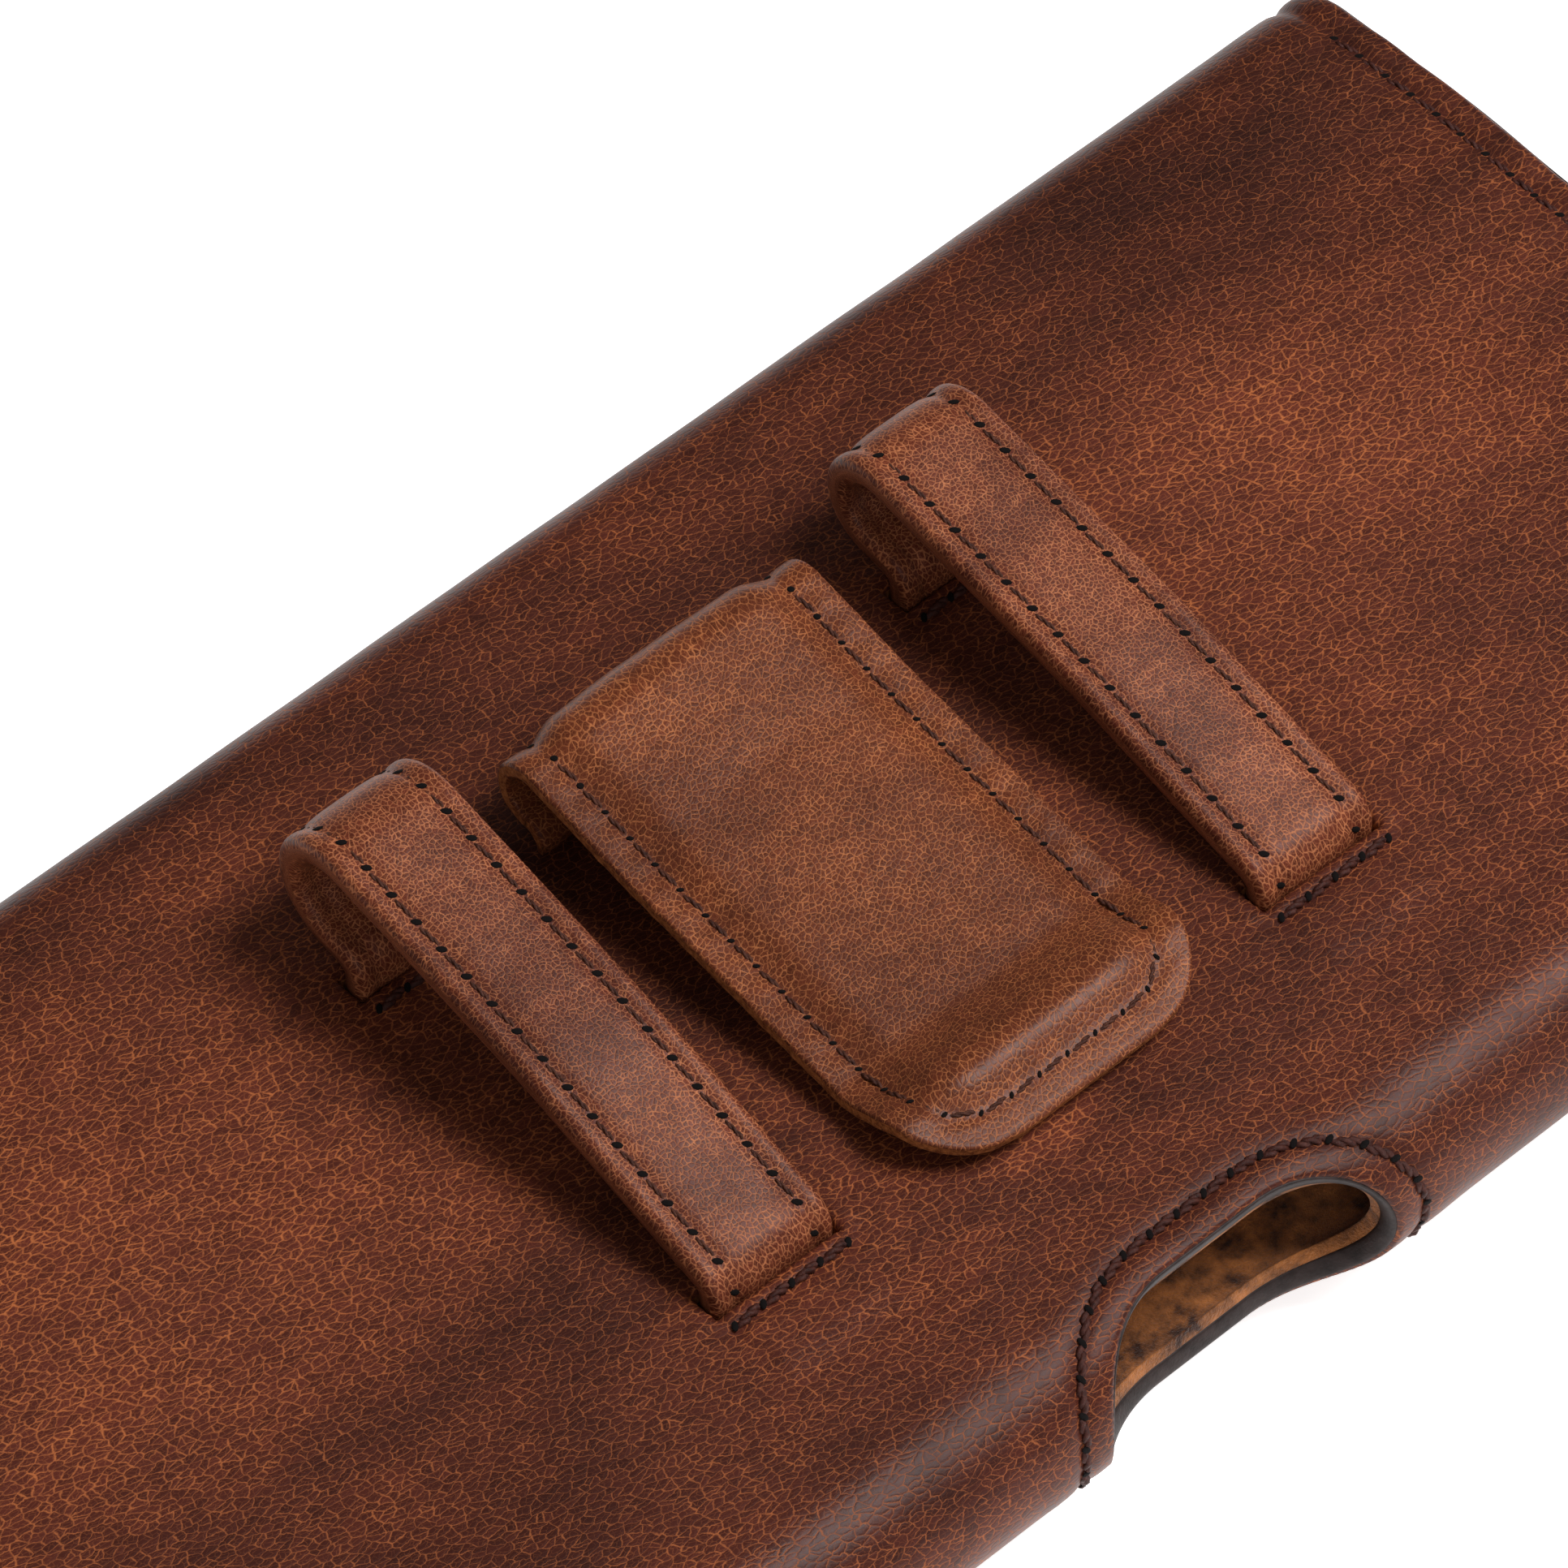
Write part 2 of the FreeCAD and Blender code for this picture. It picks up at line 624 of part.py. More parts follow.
for side, sign in (("left", -1), ("right", 1)):
    inner_face = f"({sign} * (sizes.pouch_length / 2 - sizes.gusset_depth))"
    hollow_face = f"({sign} * (sizes.pouch_length / 2 - sizes.gusset_depth + sizes.gusset))"
    starts = [
        inner_face if sign > 0 else "(-sizes.pouch_length / 2)",
        hollow_face if sign > 0 else "(-sizes.pouch_length / 2)",
    ]
    tray = pad_outline(f"{side}_gusset_block", *gusset_outline("0"), "sizes.gusset_depth",
                       starts[0], False)
    hollow = pad_outline(f"{side}_gusset_hollow", *gusset_outline("sizes.gusset"),
                         "(sizes.gusset_depth - sizes.gusset)", starts[1], False)
    keep(f"{side}_gusset", take_away(f"{side}_gusset", tray, hollow))


# ---------------------------------------------------------------- bar tacks
tack_stitches = []
for side, sign in (("left", -1), ("right", 1)):
    for end, slit in (("low", "sizes.loop_low"), ("high", "(sizes.loop_low + sizes.loop_span)")):
        for number in range(int(size("tack_stitches"))):
            step = f"({number} - (sizes.tack_stitches - 1) / 2) * sizes.stitch_pitch"
            tack_stitches.append(block(
                f"{side}_{end}_stitch_{number}", f"({sign} * sizes.loop_spacing / 2 + {step})",
                f"-sizes.pouch_width / 2 + {slit} - sizes.tack_distance - sizes.stitch_width / 2",
                BACK, "sizes.stitch_length", "sizes.stitch_width", "sizes.stitch_width / 2"))
keep("bar_tacks", group("bar_tacks", tack_stitches))


# ---------------------------------------------------------------- checks and export
doc.recompute()
for thing in doc.Objects:
    if "Invalid" in thing.State or "Error" in thing.State:
        raise RuntimeError(f"{thing.Name} failed: {thing.State}")
for node, feature in pieces.items():
    shape = feature.Shape
    if shape.isNull() or not shape.isValid() or not shape.Solids:
        raise RuntimeError(f"{node} is not a valid solid")

os.makedirs("parts", exist_ok=True)
for node, feature in sorted(pieces.items()):
    feature.Shape.exportStep(f"parts/{node}.step")
    box = feature.Shape.BoundBox
    print(f"{node:20s} solids {len(feature.Shape.Solids):2d}  volume {feature.Shape.Volume:9.1f}"
          f"  x {box.XMin:7.2f} {box.XMax:7.2f}  y {box.YMin:7.2f} {box.YMax:7.2f}"
          f"  z {box.ZMin:6.2f} {box.ZMax:6.2f}")
# Where the record puts the two hinges.
print("pivot of the flap:", round(value(CREASE_Y) + size("crease_pivot_out"), 3),
      round(BACK_Z - size("crease_pivot_deep"), 3))
print("pivot of the clip:", round(BEND_Y - BEND_RADIUS, 3), round((LEG_Z + CROWN_Z) / 2, 3))
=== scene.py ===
# %% [markdown]
# # A leather belt pouch
# The pouch lies on its front, so its back faces up: two sewn belt loops, a spring clip covered in
# leather, and an oval hole in the bottom fold for pushing the contents out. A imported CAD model
# gives every size and every moving body. Here each soft piece is made again as leather really
# behaves, with turned edges, sunk seams and creases, and the hard pieces get their finish.

# %% The frame
import math

import bpy
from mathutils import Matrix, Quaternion, Vector, noise
from mathutils.geometry import delaunay_2d_cdt


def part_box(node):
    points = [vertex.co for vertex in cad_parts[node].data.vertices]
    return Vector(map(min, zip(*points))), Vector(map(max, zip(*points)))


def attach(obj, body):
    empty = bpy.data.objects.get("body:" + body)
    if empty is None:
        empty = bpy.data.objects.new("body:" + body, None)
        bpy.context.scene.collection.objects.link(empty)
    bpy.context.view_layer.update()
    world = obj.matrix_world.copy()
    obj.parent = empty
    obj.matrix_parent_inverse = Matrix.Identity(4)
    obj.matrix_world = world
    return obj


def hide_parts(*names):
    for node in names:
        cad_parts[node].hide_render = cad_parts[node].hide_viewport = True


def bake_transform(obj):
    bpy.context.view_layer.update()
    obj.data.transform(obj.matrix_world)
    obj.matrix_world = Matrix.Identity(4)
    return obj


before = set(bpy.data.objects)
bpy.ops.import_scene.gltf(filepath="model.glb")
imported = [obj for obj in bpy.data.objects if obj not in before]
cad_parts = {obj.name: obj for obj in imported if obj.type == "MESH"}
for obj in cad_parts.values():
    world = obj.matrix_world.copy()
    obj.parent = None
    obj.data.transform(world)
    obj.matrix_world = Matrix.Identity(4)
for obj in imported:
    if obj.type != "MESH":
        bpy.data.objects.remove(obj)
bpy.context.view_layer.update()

# %% [markdown]
# ## Sizes come from the frame
# A leather worker thinks in millimetres, so everything below is in millimetres and only the last
# step of making a mesh turns it into metres. The sizes are measured on the CAD nodes, so this
# script follows the CAD model if a size changes there.

# %% Sizes of the body
MM = 0.001
SIDES = (("left", -1), ("right", 1))


def node_box(node):
    """Lowest and highest corner of a CAD node, in millimetres."""
    low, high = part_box(node)
    return low / MM, high / MM


shell_low, shell_high = node_box("shell_leather")
crease_low, crease_high = node_box("crease_leather")
gusset_low, gusset_high = node_box("right_gusset")
HALF_LENGTH = shell_high.x
BACK_Z = shell_high.z
FOLD_RADIUS = (shell_high.z - shell_low.z) / 2
FOLD_Y = shell_low.y + FOLD_RADIUS
FOLD_Z = BACK_Z - FOLD_RADIUS
MOUTH_Y = shell_high.y
CREASE_Y = crease_low.y
CREASE_RADIUS = BACK_Z - crease_low.z
FLAP_TIP_Y = node_box("flap_leather")[0].y
FLAP_CORNER = 4.5
LEATHER = node_box("shell_core")[0].z - shell_low.z
LINING_DEPTH = node_box("shell_lining")[0].z - shell_low.z
INSIDE_DEPTH = BACK_Z - gusset_high.z
print("leather", round(LEATHER, 2), "mm, fold radius", round(FOLD_RADIUS, 2), "mm")

# %% [markdown]
# ## Small curves
# Leather has no hard steps: a rubbed edge, the groove of a seam and the waves of a panel all change
# softly. Four small curves shape all of them, and one more gives evenly spaced places.

# %% Curves for soft changes
def smooth_step(low, high, value):
    """0 below low, 1 above high, and an even slope between them."""
    t = min(1.0, max(0.0, (value - low) / (high - low)))
    return t * t * (3 - 2 * t)


def bell(distance, width):
    """1 at distance 0, fading to 0 within about twice the width."""
    return math.exp(-(distance / width) ** 2)


def worn_edge(distance, radius):
    """How far a rounded edge has dropped, at a distance inside the edge."""
    if distance >= radius:
        return 0.0
    return radius - math.sqrt(max(0.0, radius * radius - (radius - distance) ** 2))


def ripple(x, s, size, seed=0.0):
    """Smooth unevenness between about -1 and 1, with bumps of the given size."""
    return noise.noise(Vector((x / size, s / size, seed)))


def evenly(low, high, steps):
    """Numbers from low to high in equal steps."""
    return [low + (high - low) * i / steps for i in range(steps + 1)]


# %% [markdown]
# ## The path of the hide
# One piece of leather makes the front, the bottom fold, the back, the crease and the flap. Seen
# from the end it is a single bent line, so a place on the hide needs only two numbers: x along the
# pouch, and s, the distance walked along that line from the front's free edge. A turtle walk does
# this: each run is straight, or turns right round a radius.

# %% Walking the hide
END_BOW = 0.5
END_WAVE = 0.45
hide_runs = [
    (MOUTH_Y - FOLD_Y, 0),
    (math.pi * FOLD_RADIUS, FOLD_RADIUS),
    (CREASE_Y - FOLD_Y, 0),
    (math.pi / 2 * CREASE_RADIUS, CREASE_RADIUS),
    (crease_low.z - FLAP_CORNER, 0),
    (math.pi / 2 * FLAP_CORNER, FLAP_CORNER),
    (crease_high.y - FLAP_CORNER - FLAP_TIP_Y, 0),
]


def end_swell(x, s):
    """The ends were cut by hand: a little bowed out and not quite straight."""
    near_end = smooth_step(HALF_LENGTH - 10, HALF_LENGTH, abs(x))
    return math.copysign(near_end, x) * (END_BOW + END_WAVE * ripple(x * 0.2, s, 17, 51))


def hide_point(x, s, depth=0.0):
    """The place x along the pouch and s along the hide, sunk to a depth below its grain side."""
    at = Vector((0, MOUTH_Y, shell_low.z))
    heading = math.pi
    left = s
    for number, (length, radius) in enumerate(hide_runs):
        step = left if number == len(hide_runs) - 1 else min(left, length)
        outward = Vector((0, -math.sin(heading), math.cos(heading)))
        if radius:
            at -= outward * radius
            heading -= step / radius
            outward = Vector((0, -math.sin(heading), math.cos(heading)))
            at += outward * radius
        else:
            at += Vector((0, math.cos(heading), math.sin(heading))) * step
        left -= step
        if left <= 0:
            break
    return Vector((x + end_swell(x, s), at.y, at.z)) - outward * depth


ends = [0]
for length, radius in hide_runs:
    ends.append(ends[-1] + length)
FOLD_START, BACK_START, CREASE_START, FLAP_START = ends[1:5]
FLAP_END = ends[-1]
FOLD_MIDDLE = (FOLD_START + BACK_START) / 2
print("length of the hide", round(FLAP_END, 1), "mm")

# %% [markdown]
# ## Colours and nodes
# A colour given as a hex value is an sRGB value, while a renderer adds up light on a linear scale, so
# one function converts each hex value. One more function adds a shader or geometry node with its
# settings and its links and hands back the output to link on, which keeps every material readable
# as a list of what feeds what.

# %% Helpers for nodes
def linear(hex_colour):
    """An sRGB hex value such as 7a4b30 as linear red, green, blue and alpha."""
    shares = [int(hex_colour[i:i + 2], 16) / 255 for i in (0, 2, 4)]
    return [c / 12.92 if c <= 0.04045 else ((c + 0.055) / 1.055) ** 2.4 for c in shares] + [1]


def add(tree, kind, inputs=None, out=0, **settings):
    """A new node: inputs are its sockets' values or links; gives the output called out."""
    node = tree.nodes.new(kind)
    for name, value in settings.items():
        setattr(node, name, value)
    for name, value in (inputs or {}).items():
        if isinstance(value, bpy.types.NodeSocket):
            tree.links.new(value, node.inputs[name])
        else:
            node.inputs[name].default_value = value
    return node.outputs[out] if node.outputs else node


def new_finish(name, surface_of):
    """A material whose shader sockets get what surface_of gives for its node tree."""
    finish = bpy.data.materials.new(name)
    finish.use_nodes = True
    tree = finish.node_tree
    tree.nodes.clear()
    shader = add(tree, "ShaderNodeBsdfPrincipled", surface_of(tree))
    add(tree, "ShaderNodeOutputMaterial", {"Surface": shader})
    print("finish:", name)
    return finish


SMOOTH = {"interpolation_type": "SMOOTHSTEP"}
TIMES = {"operation": "MULTIPLY"}
TIMES_PLUS = {"operation": "MULTIPLY_ADD"}
COLOUR = {"data_type": "RGBA", "out": "Result"}

# %% [markdown]
# ## Burnished leather
# The leather is cow hide, dyed, milled so that its grain stands up as pebbles, then rubbed with a
# darker wax that stays on the pebbles, so the creases between them show a warmer orange. Voronoi
# cells are the pebbles and the distance to their edges draws the creases. Wide noise makes the
# clouds of a hide rubbed by hand. The pattern lies on the hide's own UV map, in millimetres, so it
# runs on unbroken from the back over the crease to the flap.

# %% Clouds of wax and painted shade
def wax_clouds_and_shade(tree, flat, clouds, patches_and_shade):
    """How far the wax is rubbed off, 0 to 1, with the listed patches and painted shade added, and the
    finer patches in it.
    """
    drawn = add(tree, "ShaderNodeMapping", {"Vector": flat, "Scale": (0.55, 1, 1)})
    cloud = add(tree, "ShaderNodeTexNoise", {
        "Vector": drawn, "Scale": 1 / clouds, "Detail": 4, "Roughness": 0.55, "Distortion": 0.4})
    patch = add(tree, "ShaderNodeTexNoise", {
        "Vector": drawn, "Scale": 3.1 / clouds, "Detail": 3, "Roughness": 0.6})
    cloud = add(tree, "ShaderNodeMapRange",
                {"Value": cloud, "From Min": 0.36, "From Max": 0.64}, **SMOOTH)
    patch = add(tree, "ShaderNodeMapRange",
                {"Value": patch, "From Min": 0.35, "From Max": 0.68}, **SMOOTH)
    level = add(tree, "ShaderNodeMath", {0: cloud, 1: 0.3, 2: 0.16}, **TIMES_PLUS)
    level = add(tree, "ShaderNodeMath", {0: patch, 1: 0.18, 2: level}, **TIMES_PLUS)
    for middle_x, middle_s, wide, high, amount in patches_and_shade:
        # One patch that lightens the leather, or darkens it for a negative amount: an ellipse that
        # fades out, placed on the hide in millimetres.
        place = add(tree, "ShaderNodeMapping", {
            "Vector": flat, "Location": (-middle_x / wide, -middle_s / high, 0),
            "Scale": (1 / wide, 1 / high, 0)})
        far = add(tree, "ShaderNodeVectorMath", {0: place}, out="Value", operation="LENGTH")
        fade = add(tree, "ShaderNodeMapRange", {
            "Value": far, "From Min": 0.15, "From Max": 1.0, "To Min": amount, "To Max": 0.0}, **SMOOTH)
        level = add(tree, "ShaderNodeMath", {0: level, 1: fade}, operation="ADD", use_clamp=True)
    return level, patch


# %% [markdown]
# The pebbles would have straight edges if the cells were left alone, so their places are nudged by
# noise of two sizes first. The hide was also stretched one way, which draws its pebbles out.

# %% Leather
def leather(name, dark, middle, crease, pebble, crease_width, glow, clouds, shine, stretch=1.0,
            lie=0.0, patches_and_shade=()):
    """Pebble, clouds and the sizes of the patches and painted shade are in millimetres; stretch and lie
    shape the pebbles.
    """
    def surface(tree):
        uv = add(tree, "ShaderNodeUVMap", uv_map="hide")
        flat = add(tree, "ShaderNodeMapping", {"Vector": uv, "Scale": (1000, 1000, 1000)})
        level, patch = wax_clouds_and_shade(tree, flat, clouds, patches_and_shade)
        at = flat
        for size, reach in ((2.0, 1.1), (0.4, 0.32)):
            nudge = add(tree, "ShaderNodeTexNoise", {
                "Vector": flat, "Scale": 1 / (size * pebble), "Detail": 2}, out="Color")
            nudge = add(tree, "ShaderNodeVectorMath", {0: nudge, 1: (0.5, 0.5, 0.5)},
                        operation="SUBTRACT")
            nudge = add(tree, "ShaderNodeVectorMath", {0: nudge, "Scale": reach * pebble},
                        operation="SCALE")
            at = add(tree, "ShaderNodeVectorMath", {0: at, 1: nudge}, operation="ADD")
        at = add(tree, "ShaderNodeMapping", {"Vector": at, "Rotation": (0, 0, -lie)})
        at = add(tree, "ShaderNodeMapping", {"Vector": at, "Scale": (stretch, 1, 1)})
        # Distances to the edges of the pebbles, and of the finer ones inside them.
        coarse, fine = [add(tree, "ShaderNodeTexVoronoi", {"Vector": at, "Scale": scale / pebble},
                            feature="DISTANCE_TO_EDGE", voronoi_dimensions="2D")
                        for scale in (1, 1.9)]
        cell = add(tree, "ShaderNodeTexVoronoi", {"Vector": at, "Scale": 1 / pebble}, out="Color",
                   voronoi_dimensions="2D")
        # The creases are wider where the wax is worn or rubbed.
        wear = add(tree, "ShaderNodeTexNoise", {
            "Vector": at, "Scale": 0.45 / pebble, "Detail": 5, "Roughness": 0.75})
        wear = add(tree, "ShaderNodeMapRange", {
            "Value": wear, "From Min": 0.34, "From Max": 0.66, "To Min": 0.4, "To Max": 1.15})
        width = add(tree, "ShaderNodeMath", {
            0: wear, 1: crease_width * 0.8, 2: crease_width * 0.35}, **TIMES_PLUS)
        rubbed = add(tree, "ShaderNodeMapRange", {"Value": level, "To Min": 0.65, "To Max": 1.7})
        width = add(tree, "ShaderNodeMath", {0: width, 1: rubbed}, **TIMES)
        line, hair = [add(tree, "ShaderNodeMapRange", {
            "Value": distance, "From Max": width, "To Min": strength, "To Max": 0.0}, **SMOOTH)
            for distance, strength in ((coarse, 1.0), (fine, 0.35))]
        net = add(tree, "ShaderNodeMath", {0: line, 1: hair}, operation="MAXIMUM")
        worn_net = add(tree, "ShaderNodeMath", {0: net, 1: wear}, use_clamp=True, **TIMES)
        # Colour: wax on the pebbles, dye in the creases, more of the dye where the wax is rubbed off.
        wax = add(tree, "ShaderNodeMix", {"Factor": level, "A": linear(dark), "B": linear(middle)},
                  **COLOUR)
        tone = add(tree, "ShaderNodeMapRange", {"Value": cell, "To Min": 0.72, "To Max": 1.25})
        waxed = add(tree, "ShaderNodeVectorMath", {0: wax, "Scale": tone}, operation="SCALE")
        show = add(tree, "ShaderNodeMapRange", {
            "Value": level, "To Min": glow * 0.35, "To Max": glow})
        show = add(tree, "ShaderNodeMath", {0: show, 1: worn_net}, **TIMES)
        colour = add(tree, "ShaderNodeMix", {"Factor": show, "A": waxed, "B": linear(crease)},
                     **COLOUR)
        # Height: domed pebbles with fine pores.
        dome = add(tree, "ShaderNodeMapRange", {"Value": coarse, "From Max": 0.32}, **SMOOTH)
        dent = add(tree, "ShaderNodeMath", {0: hair, 1: -0.45, 2: dome}, **TIMES_PLUS)
        pore = add(tree, "ShaderNodeTexNoise", {"Vector": flat, "Scale": 5 / pebble, "Detail": 2})
        height = add(tree, "ShaderNodeMath", {0: pore, 1: 0.35, 2: dent}, **TIMES_PLUS)
        bump = add(tree, "ShaderNodeBump", {
            "Height": height, "Strength": 0.2, "Distance": 0.12 * pebble * MM})
        rough = add(tree, "ShaderNodeMapRange", {"Value": net, "To Min": shine, "To Max": shine + 0.2})
        rough = add(tree, "ShaderNodeMath", {0: patch, 1: -0.07, 2: rough}, **TIMES_PLUS)
        return {"Base Color": colour, "Roughness": rough, "Normal": bump, "IOR": 1.48,
                "Specular IOR Level": 0.16}
    return new_finish(name, surface)


# Each patch is its place on the hide, x and s, its width and height, and how much lighter it makes the
# leather, darker where negative.
# Those below the clip's tip and between the slits and the tacks are scuffs; the two dark ones at s 188
# and 196 are painted shade along the crease.
body_leather = leather(
    "waxed cow hide of the body", "2d130e", "602c20", "bf6d3c", pebble=0.58, crease_width=0.095,
    glow=0.88, clouds=30.0, shine=0.44, stretch=0.5, lie=-0.15,
    patches_and_shade=[(-78, 158, 52, 28, 0.33), (-50, 180, 36, 20, 0.15), (56, 156, 42, 26, 0.33),
            (-50, 121, 38, 20, -0.1), (-5, 112, 70, 16, -0.1), (49, 188, 60, 20, -0.2),
            (-50, 196, 90, 18, -0.2), (38, 117, 36, 16, 0.1), (-5, 123.4, 9, 3, 0.5),
            (-29.6, 129.4, 7, 1.8, 0.5), (29.6, 129.4, 7, 1.8, 0.5)])
strap_leather = leather(
    "waxed cow hide of the straps", "3a160f", "6c301f", "cc8054", pebble=0.42, crease_width=0.16,
    glow=1.0, clouds=14.0, shine=0.42)
clip_leather = leather(
    "waxed cow hide of the clip", "411d12", "6d341e", "c67a49", pebble=0.44, crease_width=0.13,
    glow=0.95, clouds=18.0, shine=0.38, stretch=0.75, lie=-0.5)

# %% [markdown]
# ## The other finishes
# Each finish starts from what the real thing is. Suede is the fibrous side of a split hide, so it
# is matt, glows at grazing angles and shows brushed patches. A cut edge shows fibres; a painted
# edge is smooth, dark and slightly glossy. Spring steel is rolled, so its streaks run one way.

# %% Suede, cut edges and edge paint
def mottled(name, first, second, size, roughness, bump_size, bump, sheen=0.0, metal=0.0,
            stretch=(1, 1, 1)):
    """A finish of two colours mixed by noise of one size and roughened by noise of another."""
    def surface(tree):
        place = add(tree, "ShaderNodeTexCoord", out="Object")
        place = add(tree, "ShaderNodeMapping", {
            "Vector": place, "Scale": [1000 * share for share in stretch]})
        mix = add(tree, "ShaderNodeTexNoise", {
            "Vector": place, "Scale": 1 / size, "Detail": 5, "Roughness": 0.65})
        mix = add(tree, "ShaderNodeMapRange", {"Value": mix, "From Min": 0.35, "From Max": 0.65})
        colour = add(tree, "ShaderNodeMix", {
            "Factor": mix, "A": linear(first), "B": linear(second)}, **COLOUR)
        nap = add(tree, "ShaderNodeTexNoise", {
            "Vector": place, "Scale": 1 / bump_size, "Detail": 3, "Roughness": 0.7})
        raised = add(tree, "ShaderNodeBump", {
            "Height": nap, "Strength": bump, "Distance": bump_size * MM})
        rough = add(tree, "ShaderNodeMapRange", {
            "Value": nap, "To Min": roughness - 0.08, "To Max": min(1, roughness + 0.08)})
        return {"Base Color": colour, "Normal": raised, "Roughness": rough, "Sheen Weight": sheen,
                "Specular IOR Level": 0.5 if metal else 0.2, "Metallic": metal}
    return new_finish(name, surface)


# Split hide brushed to a nap: tan fibres, darker where the nap is pressed down.
suede = mottled("brushed suede of the lining", "331707", "ad6a35", 2.6, 0.92, 0.28, 1.0, 0.15)
# Cut through the hide: loose tan fibres.
cut_edge = mottled("cut edge of the leather", "6b3618", "b56f3c", 0.5, 0.85, 0.22, 1.0)
# Brushed on edge paint: it levels itself, so it is smooth and catches the light.
edge_paint = mottled("brown edge paint", "1e1412", "322624", 1.5, 0.5, 0.6, 0.15)
# Two plies of waxed polyester, dark for the thick seams and a little lighter for the thin ones.
thick_thread = mottled("waxed dark brown thread", "2a100c", "4d2820", 0.4, 0.5, 0.12, 0.6)
thin_thread = mottled("waxed brown thread", "2c140e", "563022", 0.4, 0.55, 0.12, 0.6)
# The thread pulls the needle's hole open, and no light comes out of it.
needle_hole = mottled("inside of a needle hole", "050202", "0c0504", 0.4, 0.95, 0.2, 0.4)
# Pressed leather fibre board inside the panels.
fibre_board = mottled("pressed fibre board", "6b5340", "8a7058", 0.8, 0.9, 0.3, 0.5)
# Rolled and hardened carbon steel: streaks along the strip.
spring_steel = mottled("bright rolled spring steel", "9a9da1", "c3c6ca", 0.9, 0.3, 0.5, 0.12,
                       metal=1.0, stretch=(1, 0.05, 1))
# Nickel plate on the magnets and their keepers.
nickel = mottled("nickel plate", "a5a39c", "c9c7bf", 3.0, 0.25, 0.5, 0.05, metal=1.0)


# %% [markdown]
# Woven tape stiffens the belt loops. It is flat, so two waves at right angles, one crest per yarn,
# give its weave.

# %% Woven tape
YARN = 0.6


def weave_surface(tree):
    place = add(tree, "ShaderNodeTexCoord", out="Object")
    place = add(tree, "ShaderNodeMapping", {"Vector": place, "Scale": (1000, 1000, 1000)})
    warp, weft = [add(tree, "ShaderNodeTexWave", {
        "Vector": place, "Scale": 0.31 / YARN, "Distortion": 0.6}, out="Fac", wave_type="BANDS",
        bands_direction=direction) for direction in "XY"]
    weave = add(tree, "ShaderNodeMath", {0: warp, 1: weft}, **TIMES)
    colour = add(tree, "ShaderNodeMix", {
        "Factor": weave, "A": linear("4b4038"), "B": linear("8f8272")}, **COLOUR)
    raised = add(tree, "ShaderNodeBump", {"Height": weave, "Strength": 0.8, "Distance": 0.1 * MM})
    return {"Base Color": colour, "Normal": raised, "Roughness": 0.85}


tape_weave = new_finish("woven reinforcing tape", weave_surface)

# %% [markdown]
# ## The hard pieces keep their CAD shape
# Steel strip, discs, board and tape are exact in the CAD model, so they only get a finish.

# %% Finishes of the CAD pieces
cad_finishes = {
    "shell_core": fibre_board,
    "flap_core": fibre_board,
    "keeper_discs": nickel,
    "flap_magnets": nickel,
    "left_loop_tape": tape_weave,
    "right_loop_tape": tape_weave,
    "clip_spring_base": spring_steel,
    "clip_spring_blade": spring_steel,
}
for node, finish in cad_finishes.items():
    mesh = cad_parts[node].data
    mesh.materials.clear()
    mesh.materials.append(finish)
print(len(cad_finishes), "CAD pieces finished")


# %% [markdown]
# ## From points to a piece
# Every soft piece below ends the same way: a list of corners in millimetres, a list of faces, and
# the place of each corner on the flat hide for the leather's pattern. Smooth shading is kept from
# running over the cut edge by marking that edge sharp. Two helpers list the faces of the two shapes
# that come back: a tube of rows, and a sheet with two sides.

# %% Making a mesh
def piece_of(name, corners, faces, flat, finishes, edge_faces=()):
    """A mesh object from corners in millimetres; edge_faces take the second finish."""
    mesh = bpy.data.meshes.new(name)
    mesh.from_pydata([corner * MM for corner in corners], [], faces)
    for finish in finishes:
        mesh.materials.append(finish)
    edge_faces = set(edge_faces)
    mesh.polygons.foreach_set("use_smooth", [True] * len(mesh.polygons))
    mesh.polygons.foreach_set("material_index",
                              [int(i in edge_faces) for i in range(len(mesh.polygons))])
    layer = mesh.uv_layers.new(name="hide")
    layer.data.foreach_set("uv", [c * MM for loop in mesh.loops for c in flat[loop.vertex_index]])
    if edge_faces:
        sides = {}
        for i, face in enumerate(faces):
            for a, b in zip(face, face[1:] + face[:1]):
                sides.setdefault((min(a, b), max(a, b)), set()).add(i in edge_faces)
        keys = [tuple(sorted(edge.vertices)) for edge in mesh.edges]
        sharp = mesh.attributes.new("sharp_edge", "BOOLEAN", "EDGE")
        sharp.data.foreach_set("value", [len(sides.get(key, ())) == 2 for key in keys])
    mesh.validate()
    piece = bpy.data.objects.new(name, mesh)
    bpy.context.scene.collection.objects.link(piece)
    print(f"{name}: {len(mesh.polygons)} faces")
    return piece


def face_outwards(piece):
    """Turns a closed piece's faces out if its signed volume is negative."""
    mesh = piece.data
    volume = 0
    for face in mesh.polygons:
        a, *others = [mesh.vertices[i].co for i in face.vertices]
        for b, c in zip(others, others[1:]):
            volume += a.dot(b.cross(c))
    if volume < 0:
        mesh.flip_normals()
    print(piece.name, "volume", round(abs(volume) / 6 / MM ** 3), "cubic mm")
    return piece


def tube_faces(rows, width, closed=False):
    """Faces round a tube of rows of corners; an open tube ends with a face over each end."""
    faces = []
    for i in range(rows if closed else rows - 1):
        near, far = i * width, (i + 1) % rows * width
        for j in range(width):
            after = (j + 1) % width
            faces.append([near + j, near + after, far + after, far + j])
    if not closed:
        last = (rows - 1) * width
        faces += [list(range(width))[::-1], list(range(last, last + width))]
    return faces


